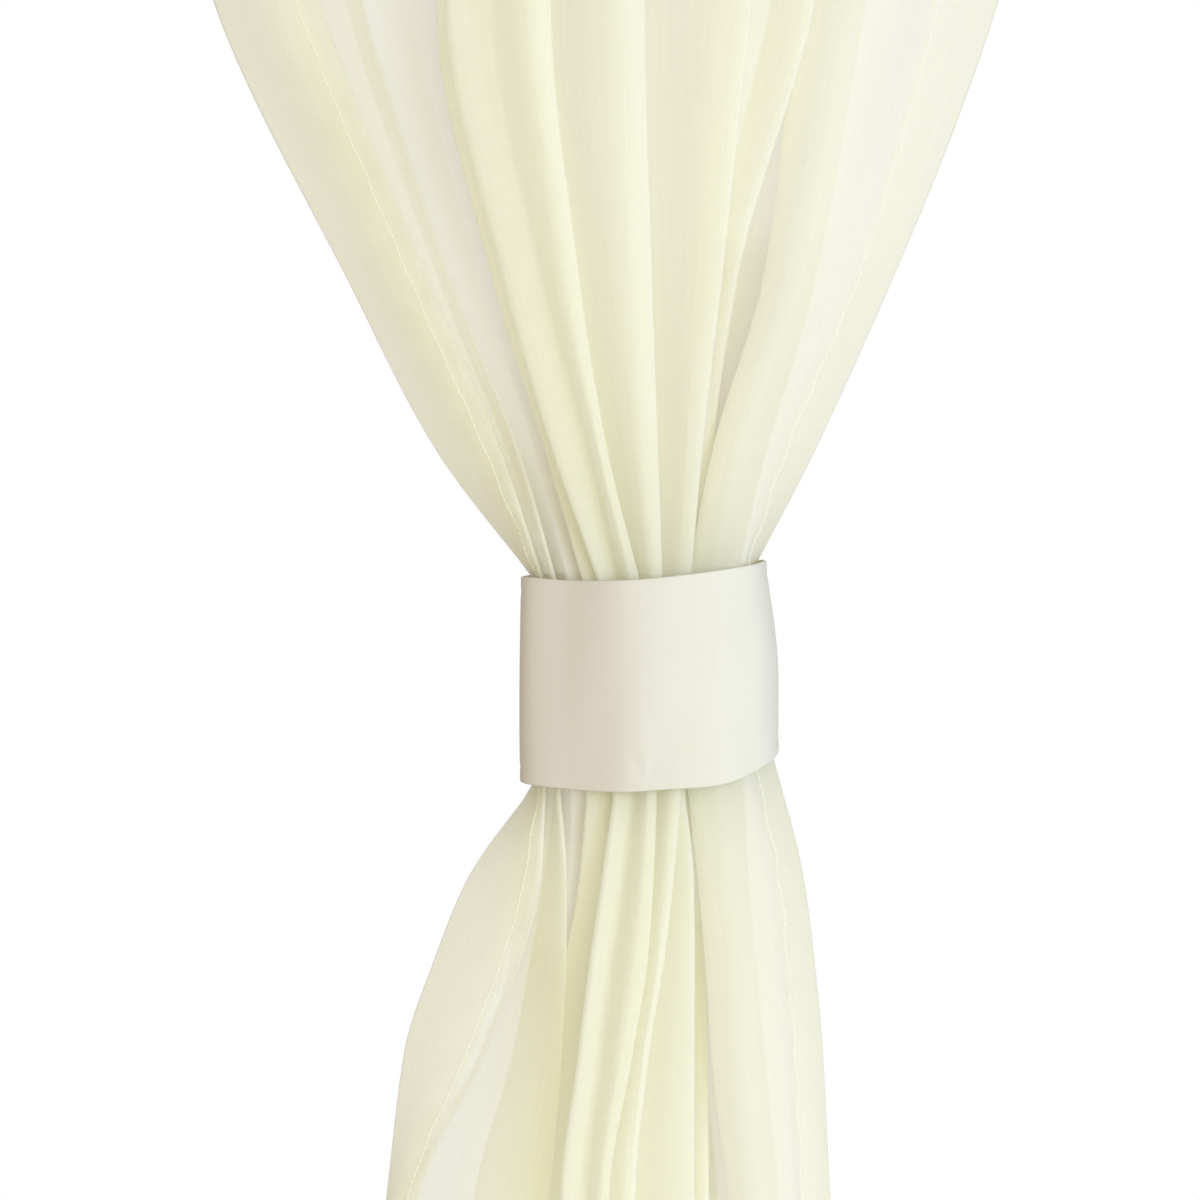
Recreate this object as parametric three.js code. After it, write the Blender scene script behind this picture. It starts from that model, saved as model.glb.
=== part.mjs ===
// Sheer curtain panel, gathered at its middle by a flat cloth tieback.
// Millimetres, +Z up, +Y away from the viewer. The origin is the middle of the top edge.
// Heights in the tables are measured from the middle of the tieback, up positive.

import * as THREE from 'three';

// Driving sizes of the panel
const FLAT_WIDTH = 1016;
const TOP_ABOVE_TIE = 1130;
const HEM_BELOW_TIE = 1004;
const HEADING_WIDTH = 590;
const HEADING_WAVES = 16;
const WAVE_UNEVENNESS = 0.15;
const WAVE_WANDER = 1.7;
const HEADING_HANG = { height: TOP_ABOVE_TIE, width: HEADING_WIDTH, centre: 0 };
const UPPER_HANG = { height: 690, width: 522, centre: -1.5 };
const LOWER_HANG = { height: -640, width: 262, centre: 0 };
const HEM_HANG = { height: -HEM_BELOW_TIE, width: 300, centre: 1 };
const CLOTH_THICKNESS = 1.0;
const HEMMED_THICKNESS = 1.4;
const SIDE_HEM = 0.024;
const LIP_RADIUS = 1.5;
const FLAT_LIPS = ['strip_lip', 'strip_fold', 'pinch_lip', 'pinch_fold', 'wedge', 'shade_fold'];
const FLAT_LIP_RADIUS = 0.7;
const FLUTE_FULLNESS = 0.93;
const FLUTE_SPAN = { least: 18, most: 62 };

// Heights at which the folds are placed, up from the tieback's middle. Between near and below,
// the columns neck and exit hold where each turn leaves the tieback's top and bottom edge.
const HEIGHTS_BELOW = { low: -223, bulge: -160, under: -120, below: -86 };
const HEIGHTS_ABOVE = { near: 99, mid: 172, high: 292 };

// Share of the depth in the tieback that a fold has kept at the heights between
const NECK_SHARE = {
  low: 0, bulge: 0.2, under: 0.45, below: 0.72, exit: 1,
  neck: 1, near: 0.55, mid: 0.16, high: 0,
};

// One row for each turn of the cloth, from the left side hem to the right one.
// The first nine numbers are places across, at the heights above. The next three are how far
// back the turn lies at the top, in the tieback and at the foot. The last is the side to which
// it waves where the cloth hangs free: -1 to the front, 1 to the back.
const FOLD_COLUMNS = [
  'fold', 'high', 'mid', 'near', 'neck', 'exit', 'below', 'under', 'bulge', 'low',
  'backHigh', 'backNeck', 'backLow', 'flute',
];
const FOLD_ROWS = [
  ['left_edge', -171, -113, -75, -33, -32.5, -61.5, -75.5, -88.6, -95.5, 16, 4, 8, 0.3],
  ['strip_lip', -125.5, -78.5, -47.5, -29, -28, -30, -38.5, -54, -83, 0, -13, -4, -1],
  ['strip_fold', -140, -94, -57.5, -30.3, -29.5, -40, -42.5, -55.5, -88.5, 12, 1, 10, 1],
  ['pinch_lip', -107, -68.5, -39.5, -23.5, -22, -19, -19, -21, -26.5, 6, -19.5, 1, -1],
  ['pinch_fold', -114, -73.5, -44, -24.3, -23, -28, -34, -41.5, -58.5, 18, -8, 17, 1],
  ['wedge', -88, -56, -32.5, -17.5, -16, -16.5, -20.5, -25, -32.5, 25, -24, 29, -1],
  ['back_loop_one', 58, 45, 36.5, 38, 38, 33, 34, 38, 46, 44, 31, 42, 1],
  ['shade_fold', -75, -50.5, -28, -11.5, -9.5, -13, -19, -25, -34.5, 12, -27, 15, -1],
  ['back_loop_two', -29, 4, 26, 34, 34, 26, 20, 12, 5, 7, 5, 4, 1],
  ['wide_fold_lip', -70, -45.5, -24.5, -4.5, 2.5, -3, -8, -13, -20.5, -6, -31, -19, -1],
  ['wide_fold_dip', -51.5, -30, -10.5, 2, 10, 5, 0, -4.5, -10.5, -12, -28, -18, -0.9],
  ['ridge_one', -26, -14, -2.5, 11.5, 19, 17.5, 15, 8.5, -1.5, -20, -33, -25, -1],
  ['trough_one', -33.5, -20, -4.5, 8.5, 16, 13.5, 10, 3.5, -6.5, -12, -27, -15, 1],
  ['ridge_two', 14, 17, 19.5, 21.5, 30, 26, 22, 15.5, 10, -25, -33.5, -24, -1],
  ['trough_two', 3.5, 10, 13.5, 16, 24.5, 22, 18, 12, 3.5, -12, -28.5, -15, 1],
  ['ridge_three', 60, 47, 38.5, 34, 31, 35, 35.3, 35.3, 35.3, -25, -29, -18, -1],
  ['trough_three', 45.5, 38, 33, 28.5, 27, 29, 28.5, 26, 23, -8, -24.5, 2, 1],
  ['ridge_four', 87, 53.5, 43.5, 41, 41, 40, 40.5, 41, 41.5, -21, -2, -9, -1],
  ['pocket_left', 69.5, 46.5, 44.5, 44.5, 44.5, 41, 38, 35.5, 32, 2, 16, 8, 1],
  ['pocket_wall', 88, 65.5, 52.5, 48, 48.5, 48, 49, 49.5, 50.5, 14, -4, 11, -1],
  ['pocket_right', 110, 88, 66.5, 51.5, 54, 57, 61, 65.5, 72, 10, 18, 12, 1],
  ['lip_turn', 98, 77.5, 61, 55, 56.5, 58.5, 61, 63, 66, 1, -10, 2, 0],
  ['right_lip', 82.5, 66, 44.5, 33.5, 33.5, 38.2, 41.2, 44, 51.5, -7, -24.5, -14, -1],
  ['right_face', 127, 97, 68, 54.5, 57, 65.5, 69.5, 73, 77.5, -8, -26, -12, -0.4],
  ['right_edge', 167.5, 121.5, 88.5, 62.5, 69.5, 83.5, 88, 91.8, 95, 14, 3, 8, 0.4],
];

// One row for each point that rounds a front run: the ridges it lies between, its share of the
// way, how proud of them it lies for each mm between them, and its share of the plain run where
// the cloth hangs free
const GUIDE_COLUMNS = ['from', 'to', 'share', 'proud', 'plain'];
const GUIDE_ROWS = [
  ['wedge', 'back_loop_one', 0.3, -0.16, 0.3],
  ['back_loop_one', 'shade_fold', 0.75, -0.15, 0.7],
  ['shade_fold', 'back_loop_two', 0.3, -0.09, 0.3],
  ['back_loop_two', 'wide_fold_lip', 0.8, -0.17, 0.7],
  ['wide_fold_dip', 'ridge_one', 0.62, 0.1, 0.6],
  ['ridge_one', 'ridge_two', 0.68, 0.1, 0.7],
  ['right_lip', 'right_face', 0.4, 0.2, 0.5],
];

// Heights between which the rounding of the front runs fades, above and below the tieback
const PLEATED_FADE = { top: [690, 292], foot: [-640, -223] };

// Rows of points down the solid, as heights from the middle of the tieback
const HEADING_DEPTH = 75;
const HEM_DEPTH = 75;
const ROW_HEIGHTS = [
  TOP_ABOVE_TIE, TOP_ABOVE_TIE - HEADING_DEPTH, 890, 690, 540, 420, 330, 250, 185, 135, 99, 52, 44.7,
  -28.7, -36, -43.7, -50, -86, -104, -124, -155, -200, -280, -420, -620,
  HEM_DEPTH - HEM_BELOW_TIE, -HEM_BELOW_TIE,
];
const PIECES_ACROSS = 70;
const LEAST_PIECES_A_RUN = 1;
const PIECES_A_LIP = 2;

// How far from the tieback's edges the cloth starts to spread
const RIM_CLEAR = 0.7;

// The tieback: its outer outline seen from above, and the heights of its two edges there
const BAND_THICKNESS = 1.6;
const BAND_TAPER = 0.045;
const BAND_HALF_HEIGHT = 44;
const BAND_PIECES_A_SIDE = 5;
const BAND_COLUMNS = ['place', 'across', 'back', 'top', 'bottom'];
const BAND_ROWS = [
  ['left_end', -37.5, 2, 44, -42],
  ['left_front', -36.5, -16, 43.5, -43.5],
  ['left_face', -17, -29, 42, -45.5],
  ['crease', 4.7, -39, 42, -46.5],
  ['nose', 20, -40, 43, -45.5],
  ['right_front', 47, -37, 46, -43],
  ['right_turn', 65.5, -22, 49, -35],
  ['right_end', 70.5, 2, 51, -28],
  ['right_back', 58.5, 30, 50, -30],
  ['back', 16, 39, 47, -38],
  ['left_back', -28, 32, 45, -41],
];

// Cloth colours
const CURTAIN_COLOUR = 0xf0eedd;
const BAND_COLOUR = 0xece6d4;

const namedRows = (columns, rows) =>
  rows.map((row) => Object.fromEntries(columns.map((column, i) => [column, row[i]])));

const FOLDS = namedRows(FOLD_COLUMNS, FOLD_ROWS);
const GUIDES = namedRows(GUIDE_COLUMNS, GUIDE_ROWS);
const BAND = namedRows(BAND_COLUMNS, BAND_ROWS);
const BAND_FRONT = BAND.slice(0, BAND.findIndex((b) => b.place === 'right_end') + 1);
const LAST = FOLDS.length - 1;
const FOLD_NUMBER = Object.fromEntries(FOLDS.map((f, k) => [f.fold, k]));

// A soft step from 0 at start to 1 at full
function fadeIn(value, start, full) {
  const t = Math.min(Math.max((value - start) / (full - start), 0), 1);
  return t * t * (3 - 2 * t);
}

// How far the front runs are rounded: 1 round the tieback, 0 where the cloth hangs free
function pleatedAt(height) {
  return fadeIn(height, ...PLEATED_FADE.top) * fadeIn(height, ...PLEATED_FADE.foot);
}

// A smooth curve through knots that never swings past them, read at x
function smoothThrough(knots, values, x) {
  const count = knots.length;
  const place = Math.min(Math.max(x, knots[0]), knots[count - 1]);
  const gaps = [];
  const slopes = [];
  for (let k = 0; k < count - 1; k += 1) {
    gaps.push(knots[k + 1] - knots[k]);
    slopes.push((values[k + 1] - values[k]) / gaps[k]);
  }
  const tangentAt = (k) => {
    if (k === 0) {
      return slopes[0];
    }
    if (k === count - 1) {
      return slopes[count - 2];
    }
    if (slopes[k - 1] * slopes[k] <= 0) {
      return 0;
    }
    const before = 2 * gaps[k] + gaps[k - 1];
    const after = gaps[k] + 2 * gaps[k - 1];
    return (before + after) / (before / slopes[k - 1] + after / slopes[k]);
  };
  let k = 0;
  while (k < count - 2 && place > knots[k + 1]) {
    k += 1;
  }
  const t = (place - knots[k]) / gaps[k];
  const cubic = 2 * t ** 3 - 3 * t ** 2 + 1;
  const rise = (t ** 3 - 2 * t ** 2 + t) * gaps[k] * tangentAt(k);
  const fall = (t ** 3 - t ** 2) * gaps[k] * tangentAt(k + 1);
  return cubic * values[k] + (1 - cubic) * values[k + 1] + rise + fall;
}

// Points that round the front runs, listed by the run they lie in
function guidePoints(turns, pleated) {
  const guides = FOLDS.map(() => []);
  for (const guide of GUIDES) {
    const start = turns[FOLD_NUMBER[guide.from]];
    const end = turns[FOLD_NUMBER[guide.to]];
    const run = FOLD_NUMBER[guide.to] - 1;
    const level = guide.share > 0.5 ? end : start;
    const rounded = start.clone().lerp(end, guide.share);
    rounded.y = level.y - guide.proud * Math.abs(end.x - start.x);
    guides[run].push(turns[run].clone().lerp(turns[run + 1], guide.plain).lerp(rounded, pleated));
  }
  return guides;
}

// The points that a section runs through, and for each stretch between them if it is a lip.
// Every inner turn becomes a small round lip: two points, one on each side of the turn.
function controlPoints(turns, pleated) {
  const guides = guidePoints(turns, pleated);
  const points = [turns[0]];
  const isLip = [];
  for (let k = 1; k <= LAST; k += 1) {
    for (const guide of guides[k - 1]) {
      points.push(guide);
      isLip.push(false);
    }
    if (k < LAST) {
      const radius = FLAT_LIPS.includes(FOLDS[k].fold) ? FLAT_LIP_RADIUS : LIP_RADIUS;
      const coming = turns[k].clone().sub(turns[k - 1]).normalize();
      const going = turns[k + 1].clone().sub(turns[k]).normalize();
      const along = coming.add(going).normalize().multiplyScalar(radius);
      points.push(turns[k].clone().sub(along), turns[k].clone().add(along));
      isLip.push(false, true);
    }
  }
  points.push(turns[LAST]);
  isLip.push(false);
  return { points, isLip };
}

// The section through all the points, with pieces[k] short lines in its stretch k
function foldCurve(turns, pleated, pieces) {
  const { points } = controlPoints(turns, pleated);
  const curve = new THREE.CatmullRomCurve3(points, false, 'centripetal');
  const stretches = points.length - 1;
  const section = [];
  for (let k = 0; k < stretches; k += 1) {
    for (let j = 0; j < pieces[k]; j += 1) {
      section.push(curve.getPoint((k + j / pieces[k]) / stretches));
    }
  }
  section.push(points[stretches].clone());
  return section;
}

function turnsOfTable(level) {
  const share = NECK_SHARE[level];
  const free = level in HEIGHTS_ABOVE ? 'backHigh' : 'backLow';
  return FOLDS.map((f) => new THREE.Vector3(f[level], share * f.backNeck + (1 - share) * f[free], 0));
}

const IS_LIP = controlPoints(turnsOfTable('neck'), 1).isLip;
const STRETCHES = IS_LIP.length;
const FINE_RUN = 20;
const FINE_LIP = 4;
const finePieces = IS_LIP.map((lip) => (lip ? FINE_LIP : FINE_RUN));

// Part of the cloth's width that each stretch holds, as a mean of the tabled sections
// and of an even spread
function clothShares() {
  const levels = ['low', 'exit', 'neck', 'mid', 'high'];
  const evenWeight = 0.4;
  const lipPart = 1 / 6;
  const shares = new Array(STRETCHES).fill(0);
  for (const level of levels) {
    const section = foldCurve(turnsOfTable(level), 1, finePieces);
    const lengths = [];
    let i = 0;
    for (let k = 0; k < STRETCHES; k += 1) {
      let length = 0;
      for (let j = 0; j < finePieces[k]; j += 1) {
        length += section[i].distanceTo(section[i + 1]);
        i += 1;
      }
      lengths.push(length);
    }
    const whole = lengths.reduce((sum, length) => sum + length, 0);
    lengths.forEach((length, k) => {
      shares[k] += length / whole / levels.length;
    });
  }
  const lips = IS_LIP.filter((lip) => lip).length;
  const even = IS_LIP.map((lip) => (lip ? lipPart / lips : (1 - lipPart) / (STRETCHES - lips)));
  return shares.map((share, k) => (1 - evenWeight) * share + evenWeight * even[k]);
}

const SHARES = clothShares();

// Place of each turn along the cloth's width, from 0 to 1
function turnPlaces() {
  const places = [0];
  let reached = 0;
  for (let k = 0; k < STRETCHES; k += 1) {
    if (IS_LIP[k]) {
      places.push(reached + SHARES[k] / 2);
    }
    reached += SHARES[k];
  }
  places.push(1);
  return places;
}

const PLACES = turnPlaces();

// The turns where the cloth hangs free, spread evenly over a given width as waves
function turnsOfHang({ width, centre }) {
  const ratio = width / FLAT_WIDTH;
  const slack = FLUTE_FULLNESS * Math.sqrt(1 - ratio * ratio);
  return FOLDS.map((f, k) => {
    const before = Math.max(k - 1, 0);
    const after = Math.min(k + 1, LAST);
    const span = (FLAT_WIDTH * (PLACES[after] - PLACES[before])) / (after - before);
    const held = Math.min(Math.max(span, FLUTE_SPAN.least), FLUTE_SPAN.most);
    return new THREE.Vector3(centre + (PLACES[k] - 0.5) * width, 0.5 * f.flute * slack * held, 0);
  });
}

// Height at which each turn leaves an edge of the tieback
function rimHeights(edge, level, clear) {
  const across = BAND_FRONT.map((b) => b.across);
  const edges = BAND_FRONT.map((b) => b[edge] + clear);
  return FOLDS.map((f) => smoothThrough(across, edges, f[level]));
}

const atHeight = (height, turns) => ({ heights: FOLDS.map(() => height), turns });
const hanging = (hangs) => hangs.map((hang) => atHeight(hang.height, turnsOfHang(hang)));
const tabled = (levels) =>
  Object.entries(levels).map(([level, height]) => atHeight(height, turnsOfTable(level)));
const KNOTS_BELOW = [...hanging([HEM_HANG, LOWER_HANG]), ...tabled(HEIGHTS_BELOW)];
const KNOTS_ABOVE = [...tabled(HEIGHTS_ABOVE), ...hanging([UPPER_HANG, HEADING_HANG])];
const KNOTS = [
  ...KNOTS_BELOW,
  { heights: rimHeights('bottom', 'exit', -RIM_CLEAR), turns: turnsOfTable('exit') },
  { heights: rimHeights('top', 'neck', RIM_CLEAR), turns: turnsOfTable('neck') },
  ...KNOTS_ABOVE,
];

// The cloth bends sharply at the tieback's edges, so the curves above, inside and below it are
// separate ones
const CORNERS = [0, KNOTS_BELOW.length, KNOTS_BELOW.length + 1, KNOTS.length - 1];

function turnsAt(height) {
  return FOLDS.map((_, k) => {
    const heights = KNOTS.map((knot) => knot.heights[k]);
    const part = CORNERS.findIndex((corner, i) => i > 0 && height <= heights[corner]);
    const [start, end] = [CORNERS[part - 1], CORNERS[part] + 1];
    const turns = KNOTS.slice(start, end).map((knot) => knot.turns[k]);
    const along = (axis) => smoothThrough(heights.slice(start, end), turns.map((t) => t[axis]), height);
    return new THREE.Vector3(along('x'), along('y'), 0);
  });
}

// How deep the heading's even waves are, found by halving, so that they hold the whole width
function headingWaveDepth() {
  const steps = 2000;
  const halvings = 40;
  const lengthAt = (depth) => {
    let length = 0;
    for (let i = 0; i < steps; i += 1) {
      const from = depth * Math.sin((2 * Math.PI * HEADING_WAVES * i) / steps);
      const to = depth * Math.sin((2 * Math.PI * HEADING_WAVES * (i + 1)) / steps);
      length += Math.hypot(HEADING_WIDTH / steps, to - from);
    }
    return length;
  };
  let shallow = 0;
  let deep = HEADING_WIDTH / HEADING_WAVES;
  for (let i = 0; i < halvings; i += 1) {
    const middle = (shallow + deep) / 2;
    if (lengthAt(middle) < FLAT_WIDTH) {
      shallow = middle;
    } else {
      deep = middle;
    }
  }
  return deep;
}

const HEADING_DEEP = headingWaveDepth();

function headingPoint(place) {
  const wander = WAVE_UNEVENNESS * Math.sin(2 * Math.PI * WAVE_WANDER * place);
  const turn = 2 * Math.PI * (HEADING_WAVES * place + wander);
  return new THREE.Vector3((place - 0.5) * HEADING_WIDTH, HEADING_DEEP * Math.sin(turn), 0);
}

// Number of short lines in each stretch, and the place of each point along the cloth
const PIECES = SHARES.map((share, k) =>
  IS_LIP[k] ? PIECES_A_LIP : Math.max(LEAST_PIECES_A_RUN, Math.round(share * PIECES_ACROSS)),
);

function pointPlaces() {
  const places = [0];
  let reached = 0;
  SHARES.forEach((share, k) => {
    for (let j = 1; j <= PIECES[k]; j += 1) {
      places.push(reached + (share * j) / PIECES[k]);
    }
    reached += share;
  });
  return places;
}

const POINT_PLACES = pointPlaces();

function sectionAt(height) {
  const section = foldCurve(turnsAt(height), pleatedAt(height), PIECES);
  const blend = fadeIn(height, UPPER_HANG.height, TOP_ABOVE_TIE);
  return section.map((point, i) => point.lerp(headingPoint(POINT_PLACES[i]), blend));
}

// Unit vector in the section's plane, square to the cloth and to its front, at point i
function frontNormal(section, i) {
  const before = section[Math.max(i - 1, 0)];
  const after = section[Math.min(i + 1, section.length - 1)];
  const along = after.clone().sub(before).normalize();
  return new THREE.Vector3(along.y, -along.x, 0);
}

function thicknessAt(height, place) {
  const sideHem = place < SIDE_HEM || place > 1 - SIDE_HEM;
  const endHem = height > TOP_ABOVE_TIE - HEADING_DEPTH || height < HEM_DEPTH - HEM_BELOW_TIE;
  return sideHem || endHem ? HEMMED_THICKNESS : CLOTH_THICKNESS;
}

// A closed solid from a front and a back grid of points, rows downwards, columns to the right.
// A ring has its last column joined to its first one.
function solidFromGrids(front, back, isRing) {
  const rows = front.length;
  const columns = front[0].length;
  const positions = [];
  for (const grid of [front, back]) {
    for (const row of grid) {
      for (const point of row) {
        positions.push(point.x, point.y, point.z);
      }
    }
  }
  const at = (side, row, column) => (side * rows + row) * columns + (column % columns);
  const index = [];
  const quad = (a, b, c, d) => index.push(a, b, c, a, c, d);
  const strips = isRing ? columns : columns - 1;
  for (let c = 0; c < strips; c += 1) {
    for (let r = 0; r < rows - 1; r += 1) {
      quad(at(0, r, c), at(0, r + 1, c), at(0, r + 1, c + 1), at(0, r, c + 1));
      quad(at(1, r, c), at(1, r, c + 1), at(1, r + 1, c + 1), at(1, r + 1, c));
    }
    quad(at(0, 0, c), at(0, 0, c + 1), at(1, 0, c + 1), at(1, 0, c));
    quad(at(0, rows - 1, c), at(1, rows - 1, c), at(1, rows - 1, c + 1), at(0, rows - 1, c + 1));
  }
  if (!isRing) {
    for (let r = 0; r < rows - 1; r += 1) {
      quad(at(0, r, 0), at(1, r, 0), at(1, r + 1, 0), at(0, r + 1, 0));
      quad(at(0, r, strips), at(0, r + 1, strips), at(1, r + 1, strips), at(1, r, strips));
    }
  }
  const geometry = new THREE.BufferGeometry();
  geometry.setAttribute('position', new THREE.Float32BufferAttribute(positions, 3));
  geometry.setIndex(index);
  geometry.computeVertexNormals();
  return geometry;
}

// The curtain: one sheet in its folds, from the heading to the hem
function curtainPanel() {
  const front = [];
  const back = [];
  for (const height of ROW_HEIGHTS) {
    const section = sectionAt(height);
    const lift = new THREE.Vector3(0, 0, height - TOP_ABOVE_TIE);
    const half = section.map((_, i) => thicknessAt(height, POINT_PLACES[i]) / 2);
    front.push(section.map((p, i) => p.clone().addScaledVector(frontNormal(section, i), half[i]).add(lift)));
    back.push(section.map((p, i) => p.clone().addScaledVector(frontNormal(section, i), -half[i]).add(lift)));
  }
  return solidFromGrids(front, back, false);
}

// The tieback: a closed loop of doubled cloth round the gathered folds
function tiebackBand() {
  const widened = (b, height) => {
    const spread = b.across > 0 ? 1 - (BAND_TAPER * height) / BAND_HALF_HEIGHT : 1;
    return new THREE.Vector3(b.across * spread, b.back, height - TOP_ABOVE_TIE);
  };
  const edges = ['top', 'bottom'].map(
    (edge) => new THREE.CatmullRomCurve3(BAND.map((b) => widened(b, b[edge])), true, 'centripetal'),
  );
  const columns = BAND.length * BAND_PIECES_A_SIDE;
  const outer = edges.map((edge) => edge.getPoints(columns).slice(0, columns));
  const inner = outer.map((ring) => ring.map((point, i) => {
    const along = ring[(i + 1) % columns].clone().sub(ring[(i + columns - 1) % columns]);
    along.z = 0;
    along.normalize();
    return point.clone().add(new THREE.Vector3(-along.y, along.x, 0).multiplyScalar(BAND_THICKNESS));
  }));
  return solidFromGrids(outer, inner, true);
}

function cloth(colour, roughness) {
  return new THREE.MeshStandardMaterial({ color: colour, roughness, metalness: 0, side: THREE.DoubleSide });
}

function named(name, geometry, material) {
  const mesh = new THREE.Mesh(geometry, material);
  mesh.name = name;
  return mesh;
}

const group = new THREE.Group();
group.add(named('curtain_panel', curtainPanel(), cloth(CURTAIN_COLOUR, 0.85)));
group.add(named('tieback_band', tiebackBand(), cloth(BAND_COLOUR, 0.8)));

export default group;
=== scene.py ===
# %% [markdown]
# # A sheer curtain, gathered at its middle by a tieback
#
# The real object is one panel of ivory voile. It hangs from its top edge, a flat cloth tieback
# draws it in at its middle, and its folds open again below. This lesson loads the plain solids
# that give the object its size, and dresses them: the cloth becomes a thin sheet laid through the
# same folds, with hems, creases, stitches and a see-through weave.

import bpy
import numpy as np
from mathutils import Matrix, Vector


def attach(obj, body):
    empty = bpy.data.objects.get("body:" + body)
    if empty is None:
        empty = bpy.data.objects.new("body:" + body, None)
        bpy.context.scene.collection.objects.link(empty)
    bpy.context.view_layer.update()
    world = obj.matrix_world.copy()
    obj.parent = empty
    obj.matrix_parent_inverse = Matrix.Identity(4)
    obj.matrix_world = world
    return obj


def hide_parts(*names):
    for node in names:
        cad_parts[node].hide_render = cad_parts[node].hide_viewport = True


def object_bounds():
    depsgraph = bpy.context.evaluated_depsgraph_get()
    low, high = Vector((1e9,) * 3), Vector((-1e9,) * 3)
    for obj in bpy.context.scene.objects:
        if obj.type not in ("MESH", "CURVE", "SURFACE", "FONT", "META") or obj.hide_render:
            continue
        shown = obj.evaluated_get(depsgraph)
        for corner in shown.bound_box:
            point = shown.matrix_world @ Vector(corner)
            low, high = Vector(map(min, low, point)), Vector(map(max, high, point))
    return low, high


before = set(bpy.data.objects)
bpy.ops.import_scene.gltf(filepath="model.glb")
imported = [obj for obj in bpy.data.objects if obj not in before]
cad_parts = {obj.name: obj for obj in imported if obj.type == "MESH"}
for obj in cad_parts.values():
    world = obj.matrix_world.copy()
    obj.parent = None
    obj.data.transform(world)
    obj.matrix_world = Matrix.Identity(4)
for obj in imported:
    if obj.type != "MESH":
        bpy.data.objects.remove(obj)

MM = 0.001
cad_low, cad_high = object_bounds()
print("solids reach from", [round(v, 4) for v in cad_low], "to", [round(v, 4) for v in cad_high])

# %% [markdown]
# ## The camera
#
# The picture shows the middle of the curtain only, square on. A long lens three metres away keeps
# the hanging folds free of perspective, as a catalogue photographer would. Its field is worked out
# from the scale of the picture, so the cloth comes out at its real size.

# %% Place the camera
PICTURE_PIXELS = 1200
MM_PER_PIXEL = 0.43
TIE_PIXEL = Vector((610, 680))
TIE_HEIGHT = -1130
CAMERA_AWAY = 3.0
SENSOR_WIDTH = 36


def placed(name, data):
    """An object of the scene that shows the data, at the origin."""
    thing = bpy.data.objects.new(name, data)
    bpy.context.scene.collection.objects.link(thing)
    return thing


field_width = PICTURE_PIXELS * MM_PER_PIXEL * MM
middle_x = (PICTURE_PIXELS / 2 - TIE_PIXEL.x) * MM_PER_PIXEL * MM
middle_z = (TIE_HEIGHT + (TIE_PIXEL.y - PICTURE_PIXELS / 2) * MM_PER_PIXEL) * MM

camera_data = bpy.data.cameras.new("camera")
camera_data.sensor_width = SENSOR_WIDTH
camera_data.lens = SENSOR_WIDTH * CAMERA_AWAY / field_width
camera_data.dof.use_dof = False
camera = placed("camera", camera_data)
camera.location = (middle_x, -CAMERA_AWAY, middle_z)
camera.rotation_euler = (np.pi / 2, 0, 0)
bpy.context.scene.camera = camera
print(f"camera looks at x {middle_x:.4f}, z {middle_z:.4f}, over {field_width:.3f} m")

# %% [markdown]
# ## Soft studio light and a pale floor
#
# Sheer cloth is mostly lit by what is around it, so a white room does most of the work. A large
# cool lamp at the front right lifts the right side of every fold and leaves the left side in soft
# shade, and a larger, warmer one in front of the tieback evens the rest out. Pale cloth passes
# light from fold to fold many times, so more diffuse bounces are allowed than the usual four, with
# which the gaps between folds turn grey. The floor is a plain pale disc under the hem.

# %% Helpers for nodes and meshes
def feed(tree, socket, value):
    """Links an input to another node's output, or sets it. Colours are three numbers."""
    if isinstance(value, bpy.types.NodeSocket):
        tree.links.new(value, socket)
    else:
        socket.default_value = (*value, 1) if socket.type == "RGBA" else value


def set_up(tree, node, **values):
    """Feeds a node's inputs by name, with _ for a space, and sets its own settings."""
    for name, value in values.items():
        socket = node.inputs.get(name.replace("_", " "))
        if socket is None:
            setattr(node, name, value)
        else:
            feed(tree, socket, value)
    return node


def add_node(tree, kind, **values):
    """A new node of that kind, set up."""
    return set_up(tree, tree.nodes.new(kind), **values)


def mixed_shaders(tree, factor, first, second):
    """A mix of two shaders, from the first at factor 0 to the second at factor 1."""
    mix = add_node(tree, "ShaderNodeMixShader", Fac=factor)
    feed(tree, mix.inputs[1], first)
    feed(tree, mix.inputs[2], second)
    return mix.outputs[0]


def mesh_object(name, points, faces):
    """A mesh at the origin from points in metres and faces of point numbers, shaded smooth."""
    mesh = bpy.data.meshes.new(name)
    mesh.from_pydata([tuple(p) for p in points], [], [tuple(f) for f in faces])
    mesh.polygons.foreach_set("use_smooth", [True] * len(mesh.polygons))
    return placed(name, mesh)


def plain_material(name, colour, roughness):
    """A material with one Principled shader, ready for textures."""
    material = bpy.data.materials.new(name)
    material.use_nodes = True
    tree = material.node_tree
    set_up(tree, tree.nodes["Principled BSDF"], Base_Color=colour, Roughness=roughness)
    return material


# %% Light the room
ROOM_BEHIND = 1.0
ROOM_LIGHT = 0.59
ROOM_COLOUR = (1.0, 0.93, 0.90)
LAMPS = {
    "key_lamp": {"place": (2.0, -2.4, -0.8), "size": 1.6, "power": 63, "colour": (0.5, 0.63, 1.0)},
    "fill_lamp": {"place": (0.5, -3.4, -1.25), "size": 2.2, "power": 46, "colour": (1, 0.97, 0.62)},
}
FOLD_BOUNCES = 8
FLOOR_RADIUS = 1.1
FLOOR_SIDES = 64
FLOOR_BELOW_HEM = 0.02
FLOOR_COLOUR = (0.85, 0.85, 0.83)


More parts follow.
